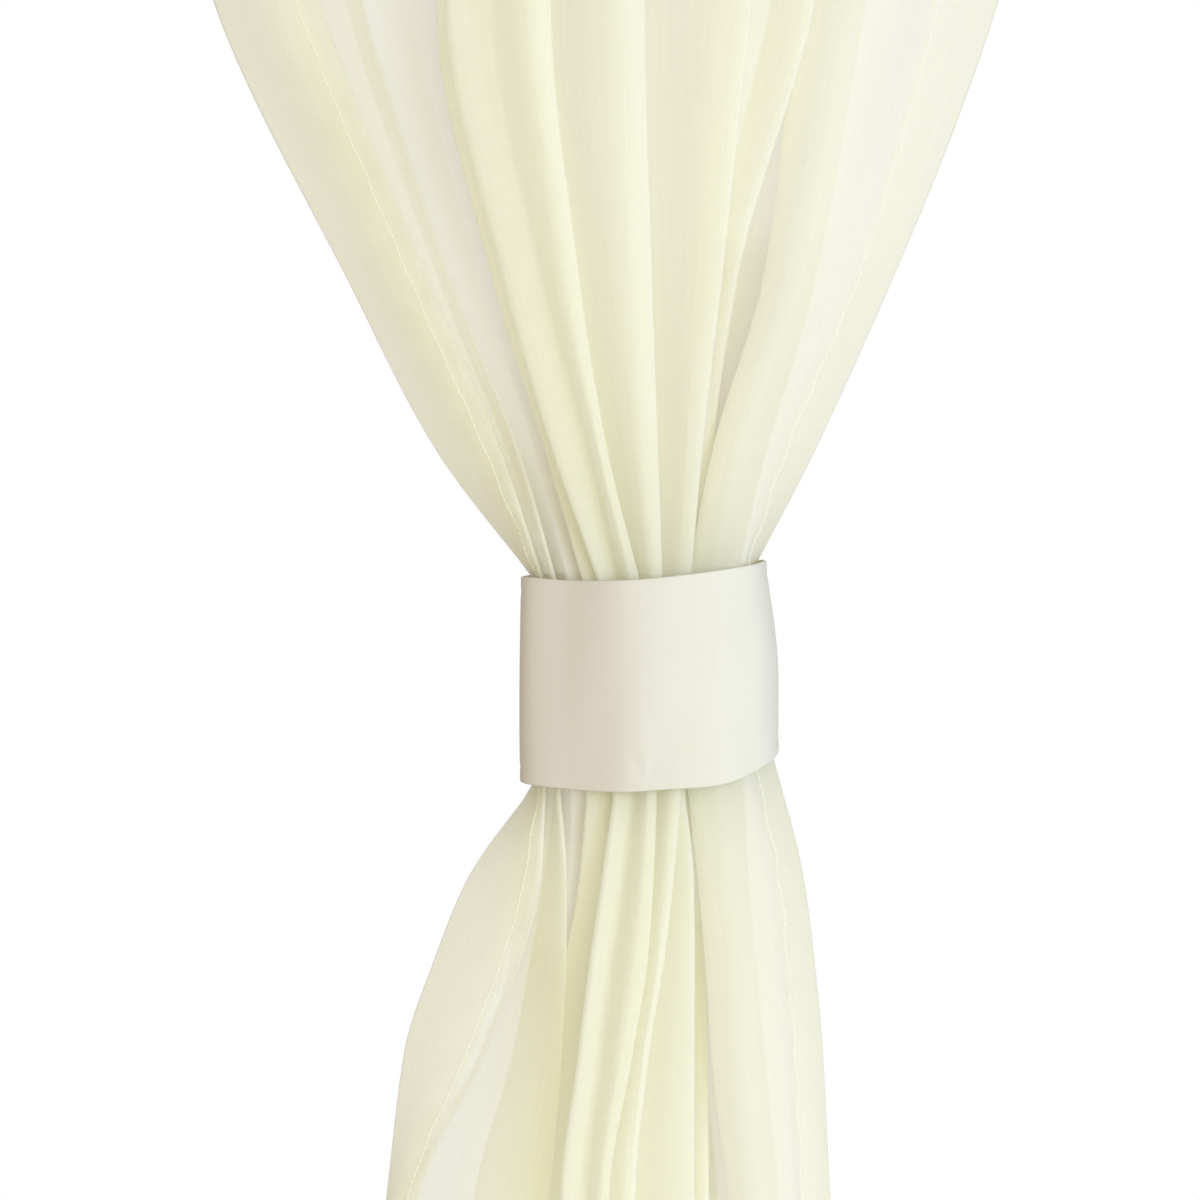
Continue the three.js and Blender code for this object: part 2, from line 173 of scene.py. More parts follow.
def white_room():
    """A white world that is seen as pure white and lights the cloth a little more softly."""
    world = bpy.data.worlds.new("white_room")
    world.use_nodes = True
    tree = world.node_tree
    tree.nodes.clear()
    lights = add_node(tree, "ShaderNodeBackground", Color=ROOM_COLOUR, Strength=ROOM_LIGHT)
    seen = add_node(tree, "ShaderNodeBackground", Color=(1, 1, 1), Strength=ROOM_BEHIND)
    by_camera = add_node(tree, "ShaderNodeLightPath").outputs["Is Camera Ray"]
    room = mixed_shaders(tree, by_camera, lights.outputs[0], seen.outputs[0])
    add_node(tree, "ShaderNodeOutputWorld", Surface=room)
    return world


def soft_lamp(name, place, size, power, colour):
    """A square lamp that looks at the middle of the picture."""
    data = bpy.data.lights.new(name, "AREA")
    data.size = size
    data.energy = power
    data.color = colour
    lamp = placed(name, data)
    lamp.location = place
    aim = Vector((middle_x, 0, middle_z)) - lamp.location
    lamp.rotation_euler = aim.to_track_quat("-Z", "Y").to_euler()


scene = bpy.context.scene
scene.world = white_room()
scene.view_settings.view_transform = "Standard"
scene.cycles.diffuse_bounces = FOLD_BOUNCES
for lamp_name, lamp_settings in LAMPS.items():
    soft_lamp(lamp_name, **lamp_settings)

turn = np.linspace(0, 2 * np.pi, FLOOR_SIDES, endpoint=False)
floor_z = cad_low.z - FLOOR_BELOW_HEM
rim = [(FLOOR_RADIUS * np.cos(a), FLOOR_RADIUS * np.sin(a), floor_z) for a in turn]
floor = mesh_object("floor", rim, [range(len(rim))])
floor.data.materials.append(plain_material("floor_paint", FLOOR_COLOUR, roughness=0.7))
print(len(LAMPS), "lamps and a room of strength", ROOM_LIGHT, "light the cloth")

# %% [markdown]
# ## The folds
#
# Simulated cloth would fall into folds of its own, not into the picture's, so the folds are given
# one by one. They are best described by their turns: the places where the cloth changes direction on
# its way from the left edge to the right one. Each row below is one turn. It says how far across
# that turn lies at nine heights round the tieback, how far back it lies, and to which side it
# waves where the cloth hangs free. These are the same numbers as the solid's, in millimetres, so
# the sheet lies on the solid's folds.

# %% Name the sizes and the turns of the cloth
FLAT_WIDTH = 1016
TOP_ABOVE_TIE = 1130
HEM_BELOW_TIE = 1004
HEADING_WIDTH = 590
HEADING_WAVES = 16
WAVE_UNEVENNESS = 0.15
WAVE_WANDER = 1.7
HEADING_HANG = {"height": TOP_ABOVE_TIE, "width": HEADING_WIDTH, "centre": 0}
UPPER_HANG = {"height": 690, "width": 522, "centre": -1.5}
LOWER_HANG = {"height": -640, "width": 262, "centre": 0}
HEM_HANG = {"height": -HEM_BELOW_TIE, "width": 300, "centre": 1}
# A flute is as deep as the cloth between its neighbours asks for, counted within these limits
FLUTE_FULLNESS = 0.93
FLUTE_SPAN = (18, 62)

# Heights at which the folds are placed, up from the tieback's middle. Between near and below, the
# columns neck and exit hold where each turn leaves the tieback's top and bottom edge.
HEIGHTS_BELOW = {"low": -223, "bulge": -160, "under": -120, "below": -86}
HEIGHTS_ABOVE = {"near": 99, "mid": 172, "high": 292}
# How much of its depth in the tieback each turn still has at each height
NECK_SHARE = {
    "low": 0, "bulge": 0.2, "under": 0.45, "below": 0.72, "exit": 1,
    "neck": 1, "near": 0.55, "mid": 0.16, "high": 0,
}
FOLD_COLUMNS = (
    "fold", "high", "mid", "near", "neck", "exit", "below", "under", "bulge", "low",
    "back_high", "back_neck", "back_low", "flute",
)
FOLD_ROWS = (
    ("left_edge", -171, -113, -75, -33, -32.5, -61.5, -75.5, -88.6, -95.5, 16, 4, 8, 0.3),
    ("strip_lip", -125.5, -78.5, -47.5, -29, -28, -30, -38.5, -54, -83, 0, -13, -4, -1),
    ("strip_fold", -140, -94, -57.5, -30.3, -29.5, -40, -42.5, -55.5, -88.5, 12, 1, 10, 1),
    ("pinch_lip", -107, -68.5, -39.5, -23.5, -22, -19, -19, -21, -26.5, 6, -19.5, 1, -1),
    ("pinch_fold", -114, -73.5, -44, -24.3, -23, -28, -34, -41.5, -58.5, 18, -8, 17, 1),
    ("wedge", -88, -56, -32.5, -17.5, -16, -16.5, -20.5, -25, -32.5, 25, -24, 29, -1),
    ("back_loop_one", 58, 45, 36.5, 38, 38, 33, 34, 38, 46, 44, 31, 42, 1),
    ("shade_fold", -75, -50.5, -28, -11.5, -9.5, -13, -19, -25, -34.5, 12, -27, 15, -1),
    ("back_loop_two", -29, 4, 26, 34, 34, 26, 20, 12, 5, 7, 5, 4, 1),
    ("wide_fold_lip", -70, -45.5, -24.5, -4.5, 2.5, -3, -8, -13, -20.5, -6, -31, -19, -1),
    ("wide_fold_dip", -51.5, -30, -10.5, 2, 10, 5, 0, -4.5, -10.5, -12, -28, -18, -0.9),
    ("ridge_one", -26, -14, -2.5, 11.5, 19, 17.5, 15, 8.5, -1.5, -20, -33, -25, -1),
    ("trough_one", -33.5, -20, -4.5, 8.5, 16, 13.5, 10, 3.5, -6.5, -12, -27, -15, 1),
    ("ridge_two", 14, 17, 19.5, 21.5, 30, 26, 22, 15.5, 10, -25, -33.5, -24, -1),
    ("trough_two", 3.5, 10, 13.5, 16, 24.5, 22, 18, 12, 3.5, -12, -28.5, -15, 1),
    ("ridge_three", 60, 47, 38.5, 34, 31, 35, 35.3, 35.3, 35.3, -25, -29, -18, -1),
    ("trough_three", 45.5, 38, 33, 28.5, 27, 29, 28.5, 26, 23, -8, -24.5, 2, 1),
    ("ridge_four", 87, 53.5, 43.5, 41, 41, 40, 40.5, 41, 41.5, -21, -2, -9, -1),
    ("pocket_left", 69.5, 46.5, 44.5, 44.5, 44.5, 41, 38, 35.5, 32, 2, 16, 8, 1),
    ("pocket_wall", 88, 65.5, 52.5, 48, 48.5, 48, 49, 49.5, 50.5, 14, -4, 11, -1),
    ("pocket_right", 110, 88, 66.5, 51.5, 54, 57, 61, 65.5, 72, 10, 18, 12, 1),
    ("lip_turn", 98, 77.5, 61, 55, 56.5, 58.5, 61, 63, 66, 1, -10, 2, 0),
    ("right_lip", 82.5, 66, 44.5, 33.5, 33.5, 38.2, 41.2, 44, 51.5, -7, -24.5, -14, -1),
    ("right_face", 127, 97, 68, 54.5, 57, 65.5, 69.5, 73, 77.5, -8, -26, -12, -0.4),
    ("right_edge", 167.5, 121.5, 88.5, 62.5, 69.5, 83.5, 88, 91.8, 95, 14, 3, 8, 0.4),
)


def table(columns, rows):
    """Every row of a table as a dictionary, under its columns' names."""
    return [dict(zip(columns, row)) for row in rows]


FOLDS = table(FOLD_COLUMNS, FOLD_ROWS)
FOLD_NAMES = [fold["fold"] for fold in FOLDS]
LAST = len(FOLDS) - 1
print(len(FOLDS), "turns of the cloth at", len(NECK_SHARE), "heights")

# %% Name the places of the tieback
BAND_THICKNESS = 1.6
BAND_TAPER = 0.045
BAND_HALF_HEIGHT = 44
BAND_COLUMNS = ("place", "across", "back", "top", "bottom")
BAND_ROWS = (
    ("left_end", -37.5, 2, 44, -42),
    ("left_front", -36.5, -16, 43.5, -43.5),
    ("left_face", -17, -29, 42, -45.5),
    ("crease", 4.7, -39, 42, -46.5),
    ("nose", 20, -40, 43, -45.5),
    ("right_front", 47, -37, 46, -43),
    ("right_turn", 65.5, -22, 49, -35),
    ("right_end", 70.5, 2, 51, -28),
    ("right_back", 58.5, 30, 50, -30),
    ("back", 16, 39, 47, -38),
    ("left_back", -28, 32, 45, -41),
)
BAND = table(BAND_COLUMNS, BAND_ROWS)
BAND_FRONT = BAND[:[place["place"] for place in BAND].index("right_end") + 1]
RIM_CLEAR = 0.7
print("the tieback turns at", len(BAND), "places")

# %% [markdown]
# ## From turns to a section
#
# Seen from above, the cloth at one height is a winding line. Each turn becomes a small round lip,
# two points apart, and a smooth curve runs through all the lips. It could be a plain spline, but
# that loops at a tight turn. The centripetal kind, whose pace follows the square root of the
# distance between its points, never does. Everything is worked out for many heights at once, as
# arrays, which is quick.

# %% Smooth curves down and across the cloth
LIP_RADIUS = 1.5
FLAT_LIPS = ("strip_lip", "strip_fold", "pinch_lip", "pinch_fold", "wedge", "shade_fold")
FLAT_LIP_RADIUS = 0.7
LIP_RADII = np.array([FLAT_LIP_RADIUS if name in FLAT_LIPS else LIP_RADIUS for name in FOLD_NAMES])

# One row for each point that rounds a front run: the ridges it lies between, its share of the way,
# how proud of them it lies for each mm between them, and its share of the plain run where the
# cloth hangs free
GUIDE_COLUMNS = ("from", "to", "share", "proud", "plain")
GUIDE_ROWS = (
    ("wedge", "back_loop_one", 0.30, -0.16, 0.3),
    ("back_loop_one", "shade_fold", 0.75, -0.15, 0.7),
    ("shade_fold", "back_loop_two", 0.30, -0.09, 0.3),
    ("back_loop_two", "wide_fold_lip", 0.80, -0.17, 0.7),
    ("wide_fold_dip", "ridge_one", 0.62, 0.10, 0.6),
    ("ridge_one", "ridge_two", 0.68, 0.10, 0.7),
    ("right_lip", "right_face", 0.40, 0.20, 0.5),
)
GUIDES = table(GUIDE_COLUMNS, GUIDE_ROWS)
PLEATED_FADE = {"top": (690, 292), "foot": (-640, -223)}


def smooth_through(knots, values, places):
    """Values at the places, on a smooth curve through the knots that never swings past them."""
    knots = np.asarray(knots, float)
    values = np.asarray(values, float)
    gaps = np.diff(knots)[:, None]
    slopes = np.diff(values, axis=0) / gaps
    left, right = slopes[:-1], slopes[1:]
    before, after = 2 * gaps[1:] + gaps[:-1], gaps[1:] + 2 * gaps[:-1]
    one_way = left * right > 0
    left_part = before / np.where(one_way, left, 1)
    right_part = after / np.where(one_way, right, 1)
    tangents = np.vstack([
        slopes[:1],
        np.where(one_way, (before + after) / np.where(one_way, left_part + right_part, 1), 0),
        slopes[-1:],
    ])
    k = np.clip(np.searchsorted(knots, places) - 1, 0, len(knots) - 2)
    t = ((places - knots[k]) / gaps[k, 0])[:, None]
    from_share = 2 * t**3 - 3 * t**2 + 1
    rise = (t**3 - 2 * t**2 + t) * gaps[k] * tangents[k]
    fall = (t**3 - t**2) * gaps[k] * tangents[k + 1]
    return from_share * values[k] + (1 - from_share) * values[k + 1] + rise + fall


def unit(vectors):
    """The vectors, each one long."""
    return vectors / np.maximum(np.linalg.norm(vectors, axis=-1, keepdims=True), 1e-9)


def lip_points(turns):
    """Every inner turn becomes two points, one on each side of it along the cloth."""
    coming = unit(turns[:, 1:-1] - turns[:, :-2])
    going = unit(turns[:, 2:] - turns[:, 1:-1])
    along = unit(coming + going) * LIP_RADII[1:-1, None]
    return turns[:, 1:-1] - along, turns[:, 1:-1] + along


def guide_points(turns, pleated):
    """Points that round each front run, as {number of its first turn: array of points}."""
    guides = {}
    for guide in GUIDES:
        start, end = (turns[:, FOLD_NAMES.index(guide[side])] for side in ("from", "to"))
        run = FOLD_NAMES.index(guide["to"]) - 1
        spread = end - start
        round_place = start + spread * guide["share"]
        level = end if guide["share"] > 0.5 else start
        round_place[:, 1] = level[:, 1] - guide["proud"] * np.abs(spread[:, 0])
        plain_place = turns[:, run] + (turns[:, run + 1] - turns[:, run]) * guide["plain"]
        place = plain_place + (round_place - plain_place) * pleated[:, None]
        guides.setdefault(run, []).append(place)
    return guides


def control_points(turns, pleated):
    """All the points that the section runs through, in order, and for each stretch if it is a lip."""
    before, after = lip_points(turns)
    guides = guide_points(turns, pleated)
    points, is_lip = [turns[:, 0]], []
    for k in range(LAST):
        for guide in guides.get(k, []):
            points.append(guide)
            is_lip.append(False)
        points.append(before[:, k] if k < LAST - 1 else turns[:, -1])
        is_lip.append(False)
        if k < LAST - 1:
            points.append(after[:, k])
            is_lip.append(True)
    return np.stack(points, axis=1), np.array(is_lip)


def spline_points(held, pieces):
    """Points of the centripetal curve, with pieces[k] short lines in stretch k. held has one point
    more at each end, which only steers the curve."""
    steps = np.linalg.norm(np.diff(held, axis=1), axis=-1, keepdims=True) ** 0.5
    curve = []
    for k, count in enumerate(pieces):
        p0, p1, p2, p3 = (held[:, k + j] for j in range(4))
        d0, d1, d2 = (np.maximum(steps[:, k + j], 1e-4) for j in range(3))
        leave = d1 * ((p1 - p0) / d0 - (p2 - p0) / (d0 + d1) + (p2 - p1) / d1)
        reach = d1 * ((p2 - p1) / d1 - (p3 - p1) / (d1 + d2) + (p3 - p2) / d2)
        for t in np.arange(count) / count:
            bend = t**2 * (-3 * p1 + 3 * p2 - 2 * leave - reach)
            twist = t**3 * (2 * p1 - 2 * p2 + leave + reach)
            curve.append(p1 + leave * t + bend + twist)
    return np.stack(curve, axis=1)


def fold_curve(turns, pleated, pieces):
    """Points along the folded cloth at each height, one stretch of pieces after the other."""
    points, _ = control_points(turns, pleated)
    first = 2 * points[:, :1] - points[:, 1:2]
    final = 2 * points[:, -1:] - points[:, -2:-1]
    curve = spline_points(np.concatenate([first, points, final], axis=1), pieces)
    return np.concatenate([curve, points[:, -1:]], axis=1)


# %% [markdown]
# ## Where each turn sits on the flat cloth
#
# The cloth doesn't stretch, so a stretch between two turns keeps its share of the flat width at
# every height. Even shares would starve the deep folds, and shares measured at one height would
# twist the rest. So they are a mean of the tabled sections' own lengths and of an even spread.
# From them the free-hanging flutes below and the waves of the heading above are worked out.

# %% Share out the flat width
FINE_RUN, FINE_LIP = 20, 4
EVEN_WEIGHT = 0.4
LIP_PART = 1 / 6


def fade_in(values, start, full):
    """A soft step from 0 at start to 1 at full."""
    t = np.clip((values - start) / (full - start), 0, 1)
    return t * t * (3 - 2 * t)


def pleated_at(heights):
    """How far the front runs are rounded: 1 round the tieback, 0 where the cloth hangs free."""
    return fade_in(heights, *PLEATED_FADE["top"]) * fade_in(heights, *PLEATED_FADE["foot"])


def turns_of_table(level):
    """The turns at one of the tabled heights, as points across and back."""
    share = NECK_SHARE[level]
    free = "back_high" if level in HEIGHTS_ABOVE else "back_low"
    return np.array([
        (fold[level], share * fold["back_neck"] + (1 - share) * fold[free]) for fold in FOLDS
    ])


def cloth_shares():
    """Part of the cloth's width that each stretch holds, and which stretches are lips."""
    levels = ("low", "exit", "neck", "mid", "high")
    turns = np.array([turns_of_table(level) for level in levels])
    pleated = np.ones(len(levels))
    is_lip = control_points(turns, pleated)[1]
    fine = np.where(is_lip, FINE_LIP, FINE_RUN)
    sections = fold_curve(turns, pleated, fine)
    steps = np.linalg.norm(np.diff(sections, axis=1), axis=2)
    lengths = np.add.reduceat(steps, np.concatenate([[0], np.cumsum(fine)[:-1]]), axis=1)
    shares = (lengths / lengths.sum(axis=1, keepdims=True)).mean(axis=0)
    even = np.where(is_lip, LIP_PART / is_lip.sum(), (1 - LIP_PART) / (~is_lip).sum())
    return (1 - EVEN_WEIGHT) * shares + EVEN_WEIGHT * even, is_lip


SHARES, IS_LIP = cloth_shares()
reached = np.concatenate([[0], np.cumsum(SHARES)])
TURN_PLACES = np.concatenate([[0], ((reached[:-1] + reached[1:]) / 2)[IS_LIP], [1]])
place_of = dict(zip(FOLD_NAMES, TURN_PLACES))
print("the wide fold's lip lies", round(place_of["wide_fold_lip"] * FLAT_WIDTH), "mm along the cloth")


# %% Hang the turns where the cloth is free, and join all the heights
def turns_of_hang(hang):
    """The turns spread evenly over a given width, as flutes deep enough to hold the cloth."""
    ratio = hang["width"] / FLAT_WIDTH
    slack = FLUTE_FULLNESS * np.sqrt(1 - ratio**2)
    turns = []
    for k, fold in enumerate(FOLDS):
        before, after = max(k - 1, 0), min(k + 1, LAST)
        span = FLAT_WIDTH * (TURN_PLACES[after] - TURN_PLACES[before]) / (after - before)
        depth = fold["flute"] * slack * np.clip(span, *FLUTE_SPAN) / 2
        turns.append((hang["centre"] + (TURN_PLACES[k] - 0.5) * hang["width"], depth))
    return np.array(turns)


def rim_heights(edge, level, clear):
    """Height at which each turn leaves an edge of the tieback."""
    across = [place["across"] for place in BAND_FRONT]
    edges = np.array([[place[edge] + clear] for place in BAND_FRONT])
    return smooth_through(across, edges, np.array([fold[level] for fold in FOLDS]))[:, 0]


below = [(hang["height"], turns_of_hang(hang)) for hang in (HEM_HANG, LOWER_HANG)]
below += [(height, turns_of_table(level)) for level, height in HEIGHTS_BELOW.items()]
above = [(height, turns_of_table(level)) for level, height in HEIGHTS_ABOVE.items()]
above += [(hang["height"], turns_of_hang(hang)) for hang in (UPPER_HANG, HEADING_HANG)]
in_tie = [
    (rim_heights("bottom", "exit", -RIM_CLEAR), turns_of_table("exit")),
    (rim_heights("top", "neck", RIM_CLEAR), turns_of_table("neck")),
]
knots = below + in_tie + above
CORNERS = (0, len(below), len(below) + 1, len(knots) - 1)
KNOT_HEIGHTS = np.array([np.full(len(FOLDS), heights, float) for heights, _ in knots])
KNOT_TURNS = np.array([turns for _, turns in knots])


def turns_at(heights):
    """The turns at any heights, as an array of heights by turns by two. The cloth bends sharply
    at the tieback's edges, so the smooth curves above, inside and below it are separate ones."""
    turns = np.empty((len(heights), len(FOLDS), 2))
    for k in range(len(FOLDS)):
        up, values = KNOT_HEIGHTS[:, k], KNOT_TURNS[:, k]
        for start, end in zip(CORNERS, CORNERS[1:]):
            here = (heights >= up[start]) & (heights <= up[end])
            part = slice(start, end + 1)
            turns[here, k] = smooth_through(up[part], values[part], heights[here])
    return turns


def heading_wave_depth():
    """How deep even waves over the gathered top edge have to be to hold the whole width."""
    steps, halvings = 2000, 40
    phase = np.linspace(0, 2 * np.pi * HEADING_WAVES, steps + 1)
    shallow, deep = 0, HEADING_WIDTH / HEADING_WAVES
    for _ in range(halvings):
        middle = (shallow + deep) / 2
        length = np.hypot(HEADING_WIDTH / steps, np.diff(middle * np.sin(phase))).sum()
        shallow, deep = (middle, deep) if length < FLAT_WIDTH else (shallow, middle)
    return deep


HEADING_DEEP = heading_wave_depth()


def heading_points(places):
    """The gathered top edge, as points across and back."""
    wander = WAVE_UNEVENNESS * np.sin(2 * np.pi * WAVE_WANDER * places)
    phase = 2 * np.pi * (HEADING_WAVES * places + wander)
    return np.stack([(places - 0.5) * HEADING_WIDTH, HEADING_DEEP * np.sin(phase)], axis=-1)


print(f"waves of the heading are {HEADING_DEEP:.1f} mm deep")

# %% [markdown]
# ## The grid of the cloth
#
# The sheet is a grid: columns of points down the cloth and rows across it. Rows lie close where
# the picture shows the folds, and wider apart above and below. The cloth is cut larger than it
# hangs: 24 mm at each side, and 75 mm at the top and the bottom, are turned to the back and sewn.
# Those turned parts are made as more rows and columns of the same grid, a little behind the rest.

# %% Lay out rows and columns
SIDE_HEM = 24
END_HEM = 75
RUN_PIECES = 218
LEAST_RUN = 4
LIP_PIECES = 4
SIDE_TURN = (SIDE_HEM, 18, 12, 6, 1.2, 0.4)
END_TURN = (END_HEM, 62, 49, 36, 23, 10, 2.4, 0.8)
NEAR_EDGE = np.array((0.4, 1.2))
# From each height up to the next one, the rows lie at most this far apart
ROW_STEPS = ((-HEM_BELOW_TIE, 10), (-235, 4.6), (-52, 9), (52, 4.6), (300, 10), (TOP_ABOVE_TIE, 10))

run_pieces = np.maximum(LEAST_RUN, np.round(SHARES * RUN_PIECES))
pieces = np.where(IS_LIP, LIP_PIECES, run_pieces).astype(int)


def row_heights():
    """Heights of the rows from the hem up to the top edge."""
    heights = []
    for (low, step), (high, _) in zip(ROW_STEPS, ROW_STEPS[1:]):
        count = int(np.ceil((high - low) / step))
        heights.extend(np.linspace(low, high, count, endpoint=False))
    heights.append(TOP_ABOVE_TIE)
    return np.unique(np.concatenate([heights, NEAR_EDGE - HEM_BELOW_TIE, TOP_ABOVE_TIE - NEAR_EDGE]))


STEPPED = np.append(np.concatenate([
    reached[k] + SHARES[k] * np.arange(count) / count for k, count in enumerate(pieces)
]), 1)
PLACES = np.unique(np.concatenate([STEPPED, NEAR_EDGE / FLAT_WIDTH, 1 - NEAR_EDGE / FLAT_WIDTH]))
ROWS = row_heights()
print(len(ROWS), "rows and", len(PLACES), "columns before the hems")


# %% Fold the cloth at every row
def sections_at(heights):
    """The whole folded cloth: an array of heights by columns by two, across and back."""
    regular = fold_curve(turns_at(heights), pleated_at(heights), pieces)
    blend = fade_in(heights, UPPER_HANG["height"], TOP_ABOVE_TIE)[:, None, None]
    sections = np.stack([
        [np.interp(PLACES, STEPPED, row[:, axis]) for axis in (0, 1)] for row in regular
    ]).transpose(0, 2, 1)
    return sections * (1 - blend) + heading_points(PLACES)[None] * blend


SECTIONS = sections_at(ROWS)
along = unit(np.gradient(SECTIONS, axis=1))
FRONT = np.stack([along[..., 1], -along[..., 0]], axis=-1)
lengths = np.linalg.norm(np.diff(SECTIONS, axis=1), axis=-1).sum(axis=1)
for height in (-900, -400, -223, 0, 200, 292, 600, 1100):
    print(f"at {height} mm the section holds {np.interp(height, ROWS, lengths):.0f} mm of cloth")

# %% [markdown]
# ## Creases and gathers
#
# The folds alone look like smooth metal. Real voile keeps soft creases from its packing, and it
# gathers in fine lines on its way into the tieback. Each crease below is a soft trough or ridge
# between two named turns, over a stretch of height. The gathers are faint ripples along the cloth
# that fade out a hand's width from the tieback. All of them move the cloth square to its face.

# %% Place the creases
# One row for each crease: the turns it lies between, its share of the way at its top and at its
# foot, the heights of both ends, its width, and its depth (a ridge is positive)
CREASE_COLUMNS = (
    "crease", "left", "right", "share_top", "share_foot", "top", "foot", "width", "depth",
)
CREASE_ROWS = (
    ("sheer_left_soft", "left_edge", "strip_lip", 0.35, 0.60, 420, 60, 9, 1.6),
    ("sheer_left_line", "left_edge", "strip_lip", 0.60, 0.70, 360, 90, 4, -0.6),
    ("right_wide_one", "right_lip", "right_face", 0.40, 0.50, 520, 90, 10, 2.0),
    ("right_wide_two", "right_lip", "right_face", 0.72, 0.66, 300, 70, 7, -1.2),
    ("right_wide_three", "right_face", "right_edge", 0.35, 0.30, 460, 110, 9, 1.5),
    ("middle_soft", "trough_one", "ridge_two", 0.45, 0.5, 330, 120, 8, 0.8),
    ("right_foot_one", "right_lip", "right_face", 0.50, 0.40, -70, -420, 9, 1.4),
    ("right_foot_two", "right_face", "right_edge", 0.40, 0.50, -60, -520, 8, -1.2),
    ("bulge_foot", "left_edge", "strip_lip", 0.30, 0.42, -90, -460, 10, 1.5),
)
CREASES = table(CREASE_COLUMNS, CREASE_ROWS)
CREASE_FADE = 0.25
LIP_CALM = (2, 16)
GATHER_REACH = 110
GATHER_DEPTH = 0.45
GATHER_LINES = ((61, 0.4), (97, 2.1), (143, 4.0))
DRIFT_DEPTH = 1.5
DRIFT_FREE = (60, 330)
DRIFT_WAVES = ((5.3, 310, 0.7), (11.7, 190, 2.9), (23.1, 140, 5.1))

height_grid, place_grid = np.meshgrid(ROWS, PLACES, indexing="ij")


def bell(values):
    """1 at 0, with a soft fall to 0 on both sides."""
    return np.exp(-(values**2))


def crease_lift(crease):
    """How far one crease moves each point to the front."""
    run = (crease["top"] - height_grid) / (crease["top"] - crease["foot"])
    share = crease["share_top"] + (crease["share_foot"] - crease["share_top"]) * np.clip(run, 0, 1)
    left, right = place_of[crease["left"]], place_of[crease["right"]]
    away = (place_grid - left - share * (right - left)) * FLAT_WIDTH / crease["width"]
    ends = fade_in(run, 0, CREASE_FADE) * fade_in(run, 1, 1 - CREASE_FADE)
    return crease["depth"] * bell(away) * ends


def gather_lift():
    """Fine lines that run into the tieback from above and below."""
    lines = sum(np.sin(2 * np.pi * count * place_grid + phase) for count, phase in GATHER_LINES)
    return GATHER_DEPTH * bell(height_grid / GATHER_REACH) * lines / len(GATHER_LINES)


def drift_lift():
    """Slow unevenness, as in any cloth that hangs, away from the tieback."""
    free = fade_in(np.abs(height_grid), *DRIFT_FREE)
    drift = sum(
        np.sin(2 * np.pi * (count * place_grid + height_grid / length) + phase)
        for count, length, phase in DRIFT_WAVES
    )
    return DRIFT_DEPTH * free * drift / len(DRIFT_WAVES)


def calm_at_lips():
    """The lips stay as they are, so that layers that lie on each other don't meet."""
    to_lip = np.min(np.abs(PLACES[:, None] - TURN_PLACES[None, 1:-1]), axis=1) * FLAT_WIDTH
    return fade_in(to_lip, *LIP_CALM)[None, :]


lift = sum(crease_lift(crease) for crease in CREASES) + gather_lift() + drift_lift()
lift *= calm_at_lips()
print(f"creases and gathers move the cloth from {lift.min():.1f} to {lift.max():.1f} mm")

# %% [markdown]
# ## Hems and their puckers
#
# A sewn hem is never flat: the thread draws the cloth up a little between its stitches. The
# picture shows it as a chain of soft dimples, some 25 mm apart, down the side hem. Here a ripple
# follows each seam and fades a few millimetres away from it.

# %% Pucker the seams
PUCKER_LENGTH = 25
PUCKER_DEPTH = 0.75
PUCKER_WIDTH = 5.0
PUCKER_WANDER = ((0.8, 61), (0.5, 23))
SEAM_INSIDE_HEM = 2
SIDE_SEAM = SIDE_HEM - SEAM_INSIDE_HEM
END_SEAM = END_HEM - SEAM_INSIDE_HEM


def seam_pucker(from_seam, along_seam):
    """A ripple along a seam, from the distances to it and along it in millimetres."""
    wander = sum(size * np.sin(along_seam / length) for size, length in PUCKER_WANDER)
    ripple = np.sin(2 * np.pi * along_seam / PUCKER_LENGTH + wander)
    return PUCKER_DEPTH * ripple * bell(from_seam / PUCKER_WIDTH)


from_left = place_grid * FLAT_WIDTH
from_right = (1 - place_grid) * FLAT_WIDTH
lift += seam_pucker(from_left - SIDE_SEAM, height_grid)
lift += seam_pucker(from_right - SIDE_SEAM, height_grid + PUCKER_LENGTH / 3)
lift += seam_pucker(TOP_ABOVE_TIE - height_grid - END_SEAM, from_left)
lift += seam_pucker(height_grid + HEM_BELOW_TIE - END_SEAM, from_left)
CLOTH = SECTIONS + FRONT * lift[..., None]
